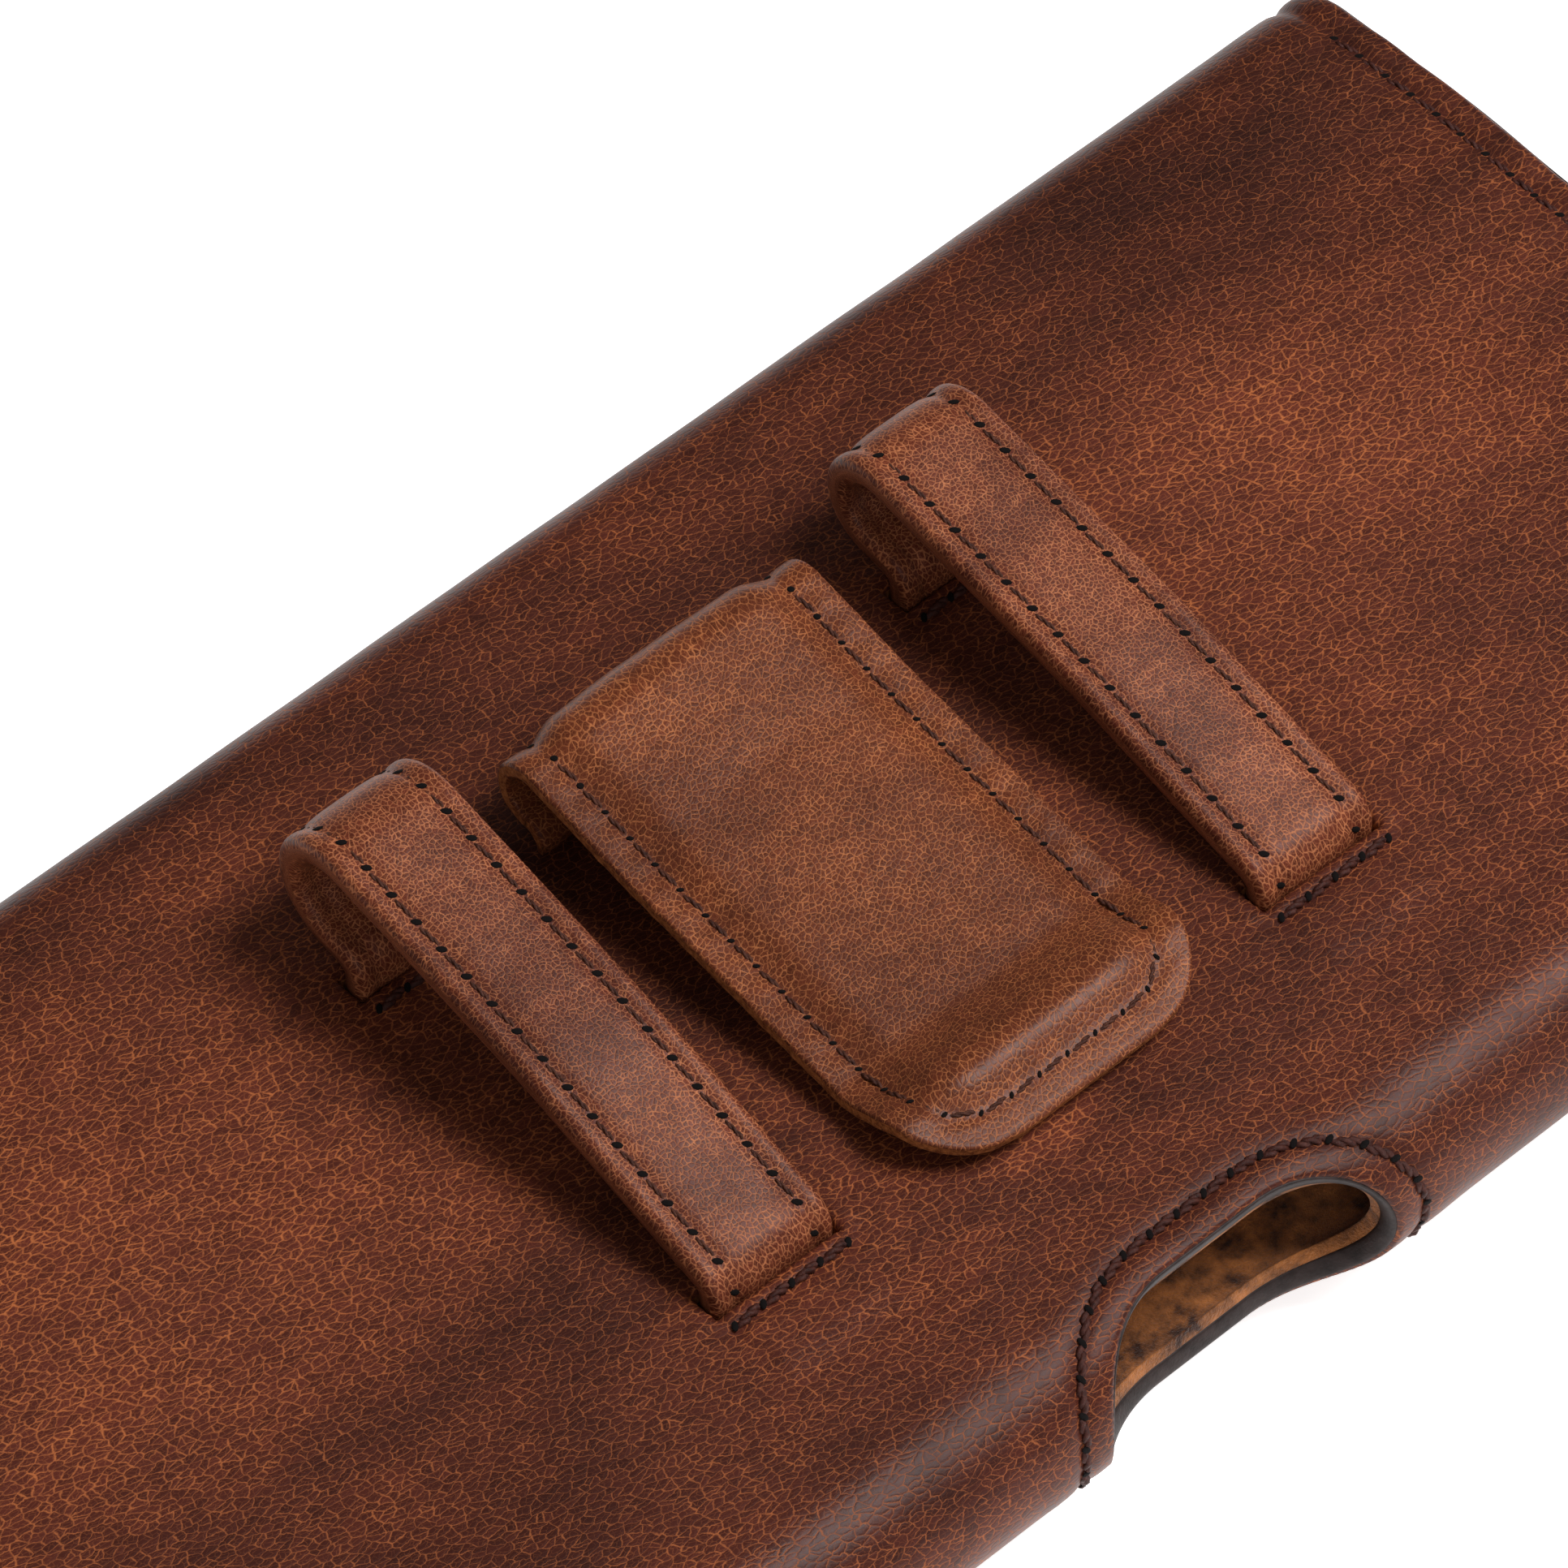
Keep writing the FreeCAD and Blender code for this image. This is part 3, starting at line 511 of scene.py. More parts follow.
def two_sides(rows, width):
    """Faces of a grid and of its underside, whose corners come after it, and the grid's border."""
    count = rows * width
    last = count - width
    faces = []
    for i in range(0, last, width):
        for a in range(i, i + width - 1):
            faces.append([a, a + width, a + width + 1, a + 1])
            faces.append([count + corner for corner in reversed(faces[-1])])
    border = [(j, j + 1) for j in range(width - 1)]
    border += [(last + j + 1, last + j) for j in range(width - 1)]
    border += [(i + width, i) for i in range(0, last, width)]
    border += [(i + width - 1, i + 2 * width - 1) for i in range(0, last, width)]
    return faces, border


# %% [markdown]
# ## The oval hole and the loop slits
# The hole is a stadium shape cut in the flat hide before it is folded, so it is measured flat: how
# far a point lies outside its edge. The same is done for the four slits that the loops go through.
# Cutting real slits lets the straps pass through the leather, as they do on the pouch.

# %% Distances on the flat hide
OVAL_LENGTH = 31
OVAL_GIRTH = 21
OVAL_STRAIGHT = (OVAL_LENGTH - OVAL_GIRTH) / 2
OVAL_X = -2
LOOP_SPAN = 42
SLIT_EASE = 0.15
STRAP = 2.6
strap_low, strap_high = node_box("right_loop_strap")
LOOP_WIDTH = strap_high.x - strap_low.x
LOOP_X = (strap_high.x + strap_low.x) / 2
LOW_SLIT_Y = strap_low.y + STRAP / 2
HIGH_SLIT_Y = LOW_SLIT_Y + LOOP_SPAN
slits = [(sign * LOOP_X, BACK_START + y - FOLD_Y)
         for side, sign in SIDES for y in (LOW_SLIT_Y, HIGH_SLIT_Y)]


def oval_distance(x, s):
    """Distance outside the edge of the oval hole."""
    return math.hypot(max(0, abs(x - OVAL_X) - OVAL_STRAIGHT), s - FOLD_MIDDLE) - OVAL_GIRTH / 2


def oval_ring(outside, spacing):
    """Evenly spaced points round the oval, a distance outside its edge."""
    radius = OVAL_GIRTH / 2 + outside
    straight = 2 * OVAL_STRAIGHT
    half_way = straight + math.pi * radius
    count = round(2 * half_way / spacing)
    ring = []
    for i in range(count):
        # The second half is the first one turned about the middle.
        half, walked = divmod(i * 2 * half_way / count, half_way)
        turned = -1 if half else 1
        turn = (walked - straight) / radius - math.pi / 2
        x, s = walked - OVAL_STRAIGHT, -radius
        if walked >= straight:
            x, s = OVAL_STRAIGHT + radius * math.cos(turn), radius * math.sin(turn)
        ring.append((OVAL_X + turned * x, FOLD_MIDDLE + turned * s))
    return ring


def slit_distance(x, s, middle):
    """Distance outside the edge of one loop slit."""
    across = abs(x - middle[0]) - LOOP_WIDTH / 2 - SLIT_EASE
    along = abs(s - middle[1]) - STRAP / 2 - SLIT_EASE
    return math.hypot(max(across, 0), max(along, 0)) + min(0, max(across, along))


def slit_ring(middle, outside, spacing):
    """Points round one loop slit, a distance outside its edge."""
    half_x = LOOP_WIDTH / 2 + SLIT_EASE + outside
    half_s = STRAP / 2 + SLIT_EASE + outside
    columns = max(2, round(2 * half_x / spacing))
    rows = max(2, round(2 * half_s / spacing))
    ring = [(x, -half_s) for x in evenly(-half_x, half_x, columns)[:-1]]
    ring += [(half_x, s) for s in evenly(-half_s, half_s, rows)[:-1]]
    ring += [(-x, -s) for x, s in ring]
    return [(middle[0] + x, middle[1] + s) for x, s in ring]


print("oval", OVAL_LENGTH, "x", OVAL_GIRTH, "mm, straps", round(LOOP_WIDTH, 1), "mm wide")

# %% [markdown]
# ## Cutting a sheet of hide
# A Delaunay triangulation fills the flat outline with even triangles and leaves the holes open.
# Points crowd round edges and seams, where the shape changes quickly, and spread out elsewhere.
# Each flat point is then lifted twice, to the grain side and to the flesh side, and the cut edges
# are closed, which gives a solid piece of leather.

# %% Sheets
EDGE_STEPS = [0, 0.08, 0.2, 0.4, 0.7, 1.1, 1.6, 2.1, 2.5, 2.8, 3.2, 3.6, 4.1, 4.8, 5.8, 7.0]
LINING_STEPS = [0, 0.5, 1.2]


def graded(low, high, step, low_edge=True, high_edge=True):
    """Numbers from low to high, a step apart, closer together near the edges asked for."""
    numbers = [low + d for d in EDGE_STEPS] if low_edge else [low]
    tail = [high - d for d in reversed(EDGE_STEPS)] if high_edge else [high]
    count = max(1, round((tail[0] - numbers[-1]) / step))
    return numbers + evenly(numbers[-1], tail[0], count)[1:-1] + tail


def cut_sheet(name, columns, rows, holes, grain_side, flesh_side, finishes, steps=EDGE_STEPS):
    """A closed sheet over a grid of columns and rows; holes are (ring maker, distance) pairs."""
    points = []
    edges = []
    outline = [(x, rows[0]) for x in columns] + [(columns[-1], s) for s in rows[1:]]
    outline += [(x, rows[-1]) for x in reversed(columns[:-1])]
    outline += [(columns[0], s) for s in reversed(rows[1:-1])]
    for loop in [outline] + [ring(0) for ring, distance in holes]:
        first = len(points)
        points += loop
        edges += [(first + i, first + (i + 1) % len(loop)) for i in range(len(loop))]
    for ring, distance in holes:
        for outside in steps[1:]:
            points += [p for p in ring(outside) if distance(*p) < outside + 0.05
                       and rows[0] < p[1] < rows[-1]]
    for x in columns[1:-1]:
        for s in rows[1:-1]:
            if all(distance(x, s) > steps[-1] + 0.4 for ring, distance in holes):
                points.append((x, s))
    cut = delaunay_2d_cdt([Vector(p) for p in points], edges, [], 1, 1e-5)
    flat, triangles = cut[0], cut[2]
    kept = []
    for face in triangles:
        middle = sum((flat[i] for i in face), Vector((0, 0))) / len(face)
        if all(distance(middle.x, middle.y) > 0 for ring, distance in holes):
            kept.append(face)
    used = sorted({i for face in kept for i in face})
    number = {old: new for new, old in enumerate(used)}
    flat = [(flat[i].x, flat[i].y) for i in used]
    kept = [[number[i] for i in face] for face in kept]
    count = len(flat)
    corners = [grain_side(x, s) for x, s in flat] + [flesh_side(x, s) for x, s in flat]
    faces = kept + [[i + count for i in reversed(face)] for face in kept]
    directed = {(a, b) for face in kept for a, b in zip(face, face[1:] + face[:1])}
    border = sorted((a, b) for a, b in directed if (b, a) not in directed)
    walls = [[b, a, a + count, b + count] for a, b in border]
    edge_faces = range(len(faces), len(faces) + len(walls))
    return face_outwards(piece_of(name, corners, faces + walls, flat + flat, finishes, edge_faces))


# %% [markdown]
# ## How the leather lies
# A sewn and glued panel is never flat. A seam pulls the leather down along its line and lets it
# puff up on both sides, the ends pucker between stitches, the loops' tapes show as faint raised
# tabs below the slits, and the whole panel waves a little. All of it is a height above the plain
# CAD surface, well under a millimetre.

# %% Height of the grain side
SEAM_FROM_END = 3.0
SEAM_FROM_OVAL = 3.1
SEAM_GROOVE = 0.75
TAB_LENGTH = 8
TAB_HALF = 5.2
TACK_BELOW = 3


def hide_height(x, s):
    """Height of the grain side above the plain surface, in millimetres."""
    from_end = HALF_LENGTH - abs(x)
    height = 0.22 * ripple(x, s, 34) + 0.07 * ripple(x, s, 11, 3)
    height -= 0.34 * bell(from_end - SEAM_FROM_END, SEAM_GROOVE)
    height += 0.22 * smooth_step(11, 2, from_end) * ripple(x * 0.35, s, 4.5, 7)
    height += 0.10 * bell(from_end - 1.5, 1.0)
    from_hole = oval_distance(x, s)
    height -= 0.24 * bell(from_hole - SEAM_FROM_OVAL, 0.7)
    height += 0.05 * bell(from_hole - 1.5, 1.2)
    height += 0.08 * bell(from_hole - 5.4, 1.8)
    height -= worn_edge(from_hole, 0.35)
    height -= worn_edge(from_end, 0.7)
    for middle in slits:
        from_middle = abs(x - middle[0])
        below = middle[1] - s
        if from_middle > 14 or abs(below) > 16:
            continue
        from_slit = slit_distance(x, s, middle)
        height -= worn_edge(max(0, from_slit), 0.5)
        height += 0.16 * bell(from_slit - 1.2, 0.9)
        tab = smooth_step(-1, 1, below) * smooth_step(TAB_LENGTH + 1.6, TAB_LENGTH, below)
        height += 0.22 * tab * smooth_step(TAB_HALF + 1.2, TAB_HALF, from_middle)
        height -= 0.30 * bell(below - TACK_BELOW, 0.8) * smooth_step(7.5, 6, from_middle)
    return height


def flap_height(x, s):
    """The flap's face lies on the table, so its unevenness only goes inwards."""
    from_end = HALF_LENGTH - abs(x)
    from_edge = FLAP_END - s
    height = -0.12 - 0.12 * ripple(x, s, 30, 5)
    height -= 0.3 * bell(from_end - SEAM_FROM_END, SEAM_GROOVE)
    height -= 0.3 * bell(from_edge - SEAM_FROM_END, SEAM_GROOVE)
    height -= worn_edge(min(from_end, from_edge), 0.7)
    near_start = smooth_step(14, 0, s - FLAP_START)
    return height * (1 - near_start) + hide_height(x, s) * near_start


def hide_grain_side(x, s):
    return hide_point(x, s, -hide_height(x, s))


def flap_grain_side(x, s):
    return hide_point(x, s, -flap_height(x, s))


def hide_flesh_side(x, s):
    return hide_point(x, s, LEATHER)


def lining_outer(x, s):
    return hide_point(x, s, LINING_DEPTH)


def lining_nap(x, s):
    return hide_point(x, s, INSIDE_DEPTH + 0.12 * ripple(x, s, 5, 11) - 0.05)


# %% [markdown]
# ## Shell: leather and lining
# The back, fold and front are one sheet from the front's free edge to the crease. The lining
# follows it on the inside, deeper by the leather and the board between them.

# %% The shell's sheets
RING_SPACING = 0.75
columns = graded(-HALF_LENGTH, HALF_LENGTH, 1.35)
front_rows = graded(0, FOLD_START, 2.4, True, False)
back_rows = graded(FOLD_START, CREASE_START, 1.3, False, False)
shell_holes = [(lambda outside: oval_ring(outside, RING_SPACING), oval_distance)]
for middle in slits:
    shell_holes.append((lambda outside, middle=middle: slit_ring(middle, outside, RING_SPACING),
                        lambda x, s, middle=middle: slit_distance(x, s, middle)))
shell = cut_sheet("shell_leather_hide", columns, front_rows + back_rows[1:], shell_holes,
                  hide_grain_side, hide_flesh_side, [body_leather, cut_edge])
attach(shell, "pouch")
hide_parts("shell_leather")

lining_columns = evenly(-HALF_LENGTH, HALF_LENGTH, 90)
lining = cut_sheet("shell_suede_lining", lining_columns, evenly(0, CREASE_START, 100),
                   shell_holes[:1], lining_outer, lining_nap, [suede, suede], LINING_STEPS)
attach(lining, "pouch")
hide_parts("shell_lining")

# %% [markdown]
# ## Crease and flap
# The crease, where the hide turns from the back to the flap, is its own short sheet.

# %% Crease and flap sheets
crease_rows = evenly(CREASE_START, FLAP_START, 16)
crease = cut_sheet("crease_leather_hide", columns, crease_rows, [], hide_grain_side,
                   hide_flesh_side, [body_leather, cut_edge])
crease_bend = {"start": hide_point(0, CREASE_START, LEATHER) * MM,
               "end": hide_point(0, FLAP_START, LEATHER) * MM}
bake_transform(crease)
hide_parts("crease_leather")

crease_suede = cut_sheet("crease_suede_lining", lining_columns, crease_rows, [], lining_outer,
                         lining_nap, [suede, suede])
hide_point(0, CREASE_START, LINING_DEPTH) * MM
hide_point(0, FLAP_START, LINING_DEPTH) * MM
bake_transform(crease_suede)
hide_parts("crease_lining")

flap = cut_sheet("flap_leather_hide", graded(-HALF_LENGTH, HALF_LENGTH, 2.2),
                 graded(FLAP_START, FLAP_END, 1.9, False, True), [], flap_grain_side,
                 hide_flesh_side, [body_leather, cut_edge])
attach(flap, "flap")
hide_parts("flap_leather")

flap_rows = evenly(FLAP_START, FLAP_END, 60)
flap_suede = cut_sheet("flap_suede_lining", lining_columns, flap_rows, [], lining_outer,
                       lining_nap, [suede, suede])
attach(flap_suede, "flap")
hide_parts("flap_lining")

# %% [markdown]
# ## Painted edges
# The layers of the panels are glued, cut flush and painted along the edge. The paint is a rounded
# bead. It is a small half-round profile, swept along the edge of the flat hide and lifted like the
# sheets, from the grain side down to the lining.

# %% Edge beads
def edge_bead(name, line, inwards, shallow, deep, bulge, finish=edge_paint, closed=False):
    """A bead along a line of flat points; inwards points from the edge into the leather."""
    profile = [(-bulge * math.sin(turn) ** 0.7,
                shallow + (deep - shallow) * (1 - math.cos(turn)) / 2)
               for turn in evenly(0, math.pi, 8)]
    profile += [(0.35, deep - 0.15), (0.35, shallow + 0.25)]
    corners = []
    flat = []
    for (x, s), (in_x, in_s) in zip(line, inwards):
        for inside, depth in profile:
            corners.append(hide_point(x + in_x * inside, s + in_s * inside, depth))
            flat.append((x + depth, s))
    faces = tube_faces(len(line), len(profile), closed)
    return face_outwards(piece_of(name, corners, faces, flat, [finish]))


def oval_inwards(x, s):
    """Direction from the oval's edge into the leather."""
    across = x - OVAL_X
    away = Vector((across - max(-OVAL_STRAIGHT, min(OVAL_STRAIGHT, across)), s - FOLD_MIDDLE))
    return tuple(away.normalized())


oval_line = oval_ring(0, 0.6)
oval_ways = [oval_inwards(*p) for p in oval_line]
oval_bead = edge_bead("oval_hole_edge_paint", oval_line, oval_ways, 0.25, 2.1, 0.28, closed=True)
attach(oval_bead, "pouch")
oval_nap = edge_bead("oval_hole_turned_suede", oval_line, oval_ways, 2.0, INSIDE_DEPTH + 0.1, 0.12,
                     suede, closed=True)
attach(oval_nap, "pouch")


def end_bead(name, sign, stations, *shape):
    """A painted bead down one end of the hide."""
    bead = edge_bead(name, [(sign * HALF_LENGTH, s) for s in stations],
                     [(-sign, 0)] * len(stations), *shape)
    return bead


def long_bead(name, s, inwards, shallow):
    """A painted bead along one of the hide's two free edges."""
    bead = edge_bead(name, [(x, s) for x in lining_columns], [(0, inwards)] * len(lining_columns),
                     shallow, INSIDE_DEPTH, 0.3)
    return bead


for side, sign in SIDES:
    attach(end_bead(f"{side}_end_edge_paint", sign, evenly(0, CREASE_START, 150), 0.5,
                     INSIDE_DEPTH + 0.9, 0.35), "pouch")
    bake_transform(end_bead(f"{side}_crease_edge_paint", sign, crease_rows, 0.5, INSIDE_DEPTH, 0.3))
    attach(end_bead(f"{side}_flap_edge_paint", sign, flap_rows, 0.6, INSIDE_DEPTH, 0.3), "flap")
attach(long_bead("flap_tip_edge_paint", FLAP_END, -1, 0.6), "flap")
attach(long_bead("front_mouth_edge_paint", 0, 1, 0.5), "pouch")

# %% [markdown]
# ## Gussets
# Each end of the pocket is closed by a folded strip of leather. Its rim is sewn between the panels
# and its middle folds inwards along a V, so that the pocket can swell. The section of the pocket is
# walked from the back panel round the fold to the front, and each point is drawn in steps towards
# the middle line while it sinks into the pocket.

# %% Folded gussets
GUSSET_TOP = gusset_high.y
GUSSET_RADIUS = (gusset_high.z - gusset_low.z) / 2
GUSSET_WALL_X = gusset_low.x
# How far out from the wall each row lies, and what share of the full section it has.
GUSSET_FOLD = [(3.5, 1.0), (1.6, 0.99), (0.9, 0.95), (0.4, 0.85), (-0.2, 0.6), (-1.2, 0.3),
               (-2.0, 0.08), (-2.1, 0.0)]


def gusset(name, sign, thickness=1.0):
    rim = evenly(GUSSET_TOP, FOLD_Y, 44)[:-1]
    steps = [(HALF_LENGTH - 0.2, 1.0)] + [(GUSSET_WALL_X + out, share) for out, share in GUSSET_FOLD]
    corners = []
    for level in (0.0, thickness):
        radius = GUSSET_RADIUS - level
        outline = [(y, FOLD_Z + radius) for y in rim]
        outline += [(FOLD_Y - radius * math.sin(turn), FOLD_Z + radius * math.cos(turn))
                    for turn in evenly(0, math.pi, 20)]
        outline += [(y, FOLD_Z - radius) for y in reversed(rim)]
        for out_x, share in steps:
            shrink = 0.0 if out_x > HALF_LENGTH - 1 else level
            for y, z in outline:
                wave = 0.25 * ripple(y, z, 9, sign) * (1 - share)
                drawn_y = y if y > FOLD_Y else FOLD_Y + (y - FOLD_Y) * share
                corners.append(Vector((sign * (out_x + shrink + wave), drawn_y,
                                       FOLD_Z + (z - FOLD_Z) * share)))
    count = len(corners) // 2
    width = len(outline)
    flat = [(i // width * 1.6, i % width) for i in range(count)] * 2
    faces, border = two_sides(len(steps), width)
    faces += [[a, b, b + count, a + count] for a, b in border]
    return face_outwards(piece_of(name, corners, faces, flat, [body_leather]))


for side, sign in SIDES:
    folded = gusset(f"{side}_folded_gusset", sign)
    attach(folded, "pouch")
    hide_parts(f"{side}_gusset")


# %% [markdown]
# ## Paths of strap and clip
# A belt loop and the clip are strips bent along a line: straight runs joined by arcs. This helper
# walks such a line and gives, every fraction of a millimetre, the place, the direction, the side
# that faces right of the direction, and the distance walked.

# %% Rounded paths
def rounded_path(points, radii, step):
    """Stations along runs joined by arcs: (place, right side, distance walked), x left at 0."""
    places = [Vector((0, y, z)) for y, z in points]
    line = [places[0]]
    for before, corner, after, radius in zip(places, places[1:], places[2:], radii):
        come = (corner - before).normalized()
        go = (after - corner).normalized()
        turn = come.angle(go)
        start = corner - come * radius * math.tan(turn / 2)
        centre = start + ((go - come * come.dot(go)).normalized()) * radius
        for sweep in evenly(0, turn, max(2, math.ceil(radius * turn / step))):
            line.append(centre + (start - centre) * math.cos(sweep) + come * radius * math.sin(sweep))
    line.append(places[-1])
    dense = [line[0]]
    for a, b in zip(line, line[1:]):
        pieces = max(1, math.ceil((b - a).length / step - 0.01))
        dense += [a.lerp(b, i / pieces) for i in range(1, pieces + 1)]
    dense = [p for i, p in enumerate(dense) if i == 0 or (p - dense[i - 1]).length > 1e-4]
    stations = []
    walked = 0.0
    for i, place in enumerate(dense):
        if i:
            walked += (place - dense[i - 1]).length
        ahead = (dense[min(i + 1, len(dense) - 1)] - dense[max(i - 1, 0)]).normalized()
        stations.append((place, Vector((0, ahead.z, -ahead.y)), walked))
    return stations


# %% [markdown]
# ## Belt loops
# A loop is a strip of leather wrapped round a woven tape, so its long edges are turned and round.
# Two rows of stitches, 2.1 mm in from the edges, press a channel and leave the middle slightly
# puffed. The cross-section is drawn once and carried along the bent line.

# %% Loop straps
ROW_FROM_EDGE = 2.1
ROW_GROOVE = 0.24
STITCH_PITCH = 3.0
LOOP_RISES = {"left": 14.6, "right": 12.6}


def loop_line(rise):
    foot = BACK_Z + STRAP / 2 + 0.3
    crown = BACK_Z + rise
    leg = BACK_Z + STRAP / 2 + 2.6
    bend_y = strap_high.y - STRAP / 2
    points = [
        (LOW_SLIT_Y, strap_low.z),
        (LOW_SLIT_Y, foot),
        (LOW_SLIT_Y + 0.5 * LOOP_SPAN, BACK_Z + 0.56 * rise),
        (bend_y, crown),
        (bend_y, leg),
        (HIGH_SLIT_Y, foot + 0.8),
        (HIGH_SLIT_Y, strap_low.z),
    ]
    end_bend = 0.75 * STRAP
    top_bend = 0.47 * (crown - leg)
    return rounded_path(points, [end_bend, 40, top_bend, top_bend, end_bend], 0.55)


def strap_section(walked, seed):
    """Corners of the strap's cross-section: (across, outwards), going round once."""
    half = LOOP_WIDTH / 2
    section = []
    for side in (1, -1):
        for share in evenly(-1, 1, 36):
            # Closer together near the two edges.
            across = side * half * (0.55 * share + 0.45 * math.sin(math.pi / 2 * share))
            from_edge = half - abs(across)
            lift = STRAP / 2 - worn_edge(from_edge, 0.85)
            lift -= ROW_GROOVE * bell(from_edge - ROW_FROM_EDGE, 0.55)
            lift += 0.10 * smooth_step(2.6, 4.5, from_edge)
            lift += 0.05 * ripple(across, walked, 4, seed + side)
            section.append((across, side * lift))
    return section


def loop_strap(name, rise, middle_x, seed):
    stations = loop_line(rise)
    corners = []
    flat = []
    for place, right, walked in stations:
        section = strap_section(walked, seed)
        for i, (across, lift) in enumerate(section):
            # The line turns left over the top, so its left side is the inside of the loop.
            corners.append(place - right * lift + Vector((middle_x + across, 0, 0)))
            flat.append((across + (0 if i < len(section) / 2 else 20), walked + seed * 50))
    faces = tube_faces(len(stations), len(section))
    return face_outwards(piece_of(name, corners, faces, flat, [strap_leather, cut_edge],
                                  [len(faces) - 2, len(faces) - 1]))


for number, (side, sign) in enumerate(SIDES):
    strap = loop_strap(f"{side}_loop_strap_hide", LOOP_RISES[side], sign * LOOP_X, number + 1)
    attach(strap, "pouch")
    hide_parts(f"{side}_loop_strap")

# %% [markdown]
# ## The clip
# The clip is a bent strip of spring steel between two pieces of leather, glued and sewn round the
# edge. Where the steel ends the two leathers meet, so a step runs round the middle, then the sunk
# seam, then a rim that flares and shows its cut fibres. The bend is a separate piece from the blade,
# which rides on the clip's body as one.

# %% Lines of the clip
blade_low, blade_high = node_box("clip_cover_blade")
base_high = node_box("clip_spring_base")[1]
steel_high = node_box("clip_spring_bend")[1]
SPRING = 0.8
COVER = 1.6
CLIP_LINING = 1.4
CLIP_HALF = blade_high.x
STEEL_HALF = steel_high.x
CLIP_CORNER = 8.5
SLIT_Y = base_high.y - SPRING / 2
BEND_Y = steel_high.y - SPRING / 2
TIP_Y = blade_low.y
REST_Z = BACK_Z + 0.3 + CLIP_LINING
LEG_Z = BACK_Z + COVER + 0.8
CROWN_Z = BACK_Z + 8.7
BEND_RADIUS = 0.42 * (CROWN_Z - LEG_Z)
SLOPE = math.tan(math.radians(12))
blade_start = (BEND_Y - 6, CROWN_Z - 6 * SLOPE)
bend_points = [(SLIT_Y, BACK_Z), (SLIT_Y, LEG_Z), (BEND_Y, LEG_Z), (BEND_Y, CROWN_Z), blade_start]
blade_points = [blade_start, (BEND_Y - 14, CROWN_Z - 14 * SLOPE), (TIP_Y + 11.3, REST_Z),
                (TIP_Y + 6.3, REST_Z + 1.9), (TIP_Y, REST_Z + 0.1)]
bend_line = rounded_path(bend_points, [1.25 * COVER, BEND_RADIUS, BEND_RADIUS], 0.4)
blade_line = rounded_path(blade_points, [30, 6, 3], 0.5)
BEND_LENGTH = bend_line[-1][2]
CLIP_LENGTH = BEND_LENGTH + blade_line[-1][2]
print("clip: bend", round(BEND_LENGTH, 1), "mm, in all", round(CLIP_LENGTH, 1), "mm")


# %% [markdown]
# The clip's outline seen from above is a rectangle with two rounded corners, and the heights
# depend on the distance from that outline, so that the seam turns the corners too.

# %% Heights across the clip
CLIP_SEAM = 2.9
CLIP_RIM = 0.78
CLIP_LINING_RIM = 0.6


def clip_width_at(walked):
    """Half the clip's width at a distance along it from the slit."""
    from_tip = CLIP_LENGTH - walked
    if from_tip >= CLIP_CORNER:
        return CLIP_HALF
    return CLIP_HALF - CLIP_CORNER + math.sqrt(
        max(0, CLIP_CORNER ** 2 - (CLIP_CORNER - from_tip) ** 2))


def clip_edge_distance(x, walked):
    """Distance inside the outline of the clip."""
    from_side = CLIP_HALF - abs(x)
    from_tip = CLIP_LENGTH - walked
    if from_side < CLIP_CORNER and from_tip < CLIP_CORNER:
        return CLIP_CORNER - math.hypot(CLIP_CORNER - from_side, CLIP_CORNER - from_tip)
    return min(from_side, from_tip)


def steel_share(inside):
    """1 over the steel, 0 over the sewn margin."""
    return smooth_step(3.0, 6.2, inside)


def cover_top(x, walked):
    inside = clip_edge_distance(x, walked)
    height = CLIP_RIM + (COVER - CLIP_RIM) * steel_share(inside)
    height -= 0.16 * bell(inside - CLIP_SEAM, 0.7)
    height += 0.04 * bell(inside - 0.8, 1.0)
    height += 0.22 * smooth_step(4, 14, inside)
    height += 0.09 * ripple(x, walked, 9, 21) + 0.03 * ripple(x, walked, 3, 22)
    # Between stitches the leather puffs up a little along the seam.
    height += 0.05 * math.cos(2 * math.pi * walked / STITCH_PITCH) * bell(inside - 2.0, 0.7)
    return height - worn_edge(inside, 0.25)


def steel_top(x, walked):
    """Half the room for the steel between the two leathers."""
    return (SPRING / 2) * steel_share(clip_edge_distance(x, walked))


def steel_bottom(x, walked):
    return -steel_top(x, walked)


def lining_bottom(x, walked):
    inside = clip_edge_distance(x, walked)
    depth = CLIP_LINING_RIM + (CLIP_LINING - CLIP_LINING_RIM) * steel_share(inside)
    depth -= 0.1 * bell(inside - CLIP_SEAM, 0.6)
    return worn_edge(inside, 0.25) - depth


# %% Clip leather
EDGE_COLUMNS = [0, 0.1, 0.25, 0.5, 0.9, 1.4, 1.9, 2.3, 2.6, 2.9, 3.2, 3.5, 4.0, 4.6, 5.3]
first_column = CLIP_HALF - EDGE_COLUMNS[-1]
clip_columns = [d - CLIP_HALF for d in EDGE_COLUMNS]
clip_columns += evenly(-first_column, first_column, 26)[1:-1]
clip_columns += [CLIP_HALF - d for d in reversed(EDGE_COLUMNS)]


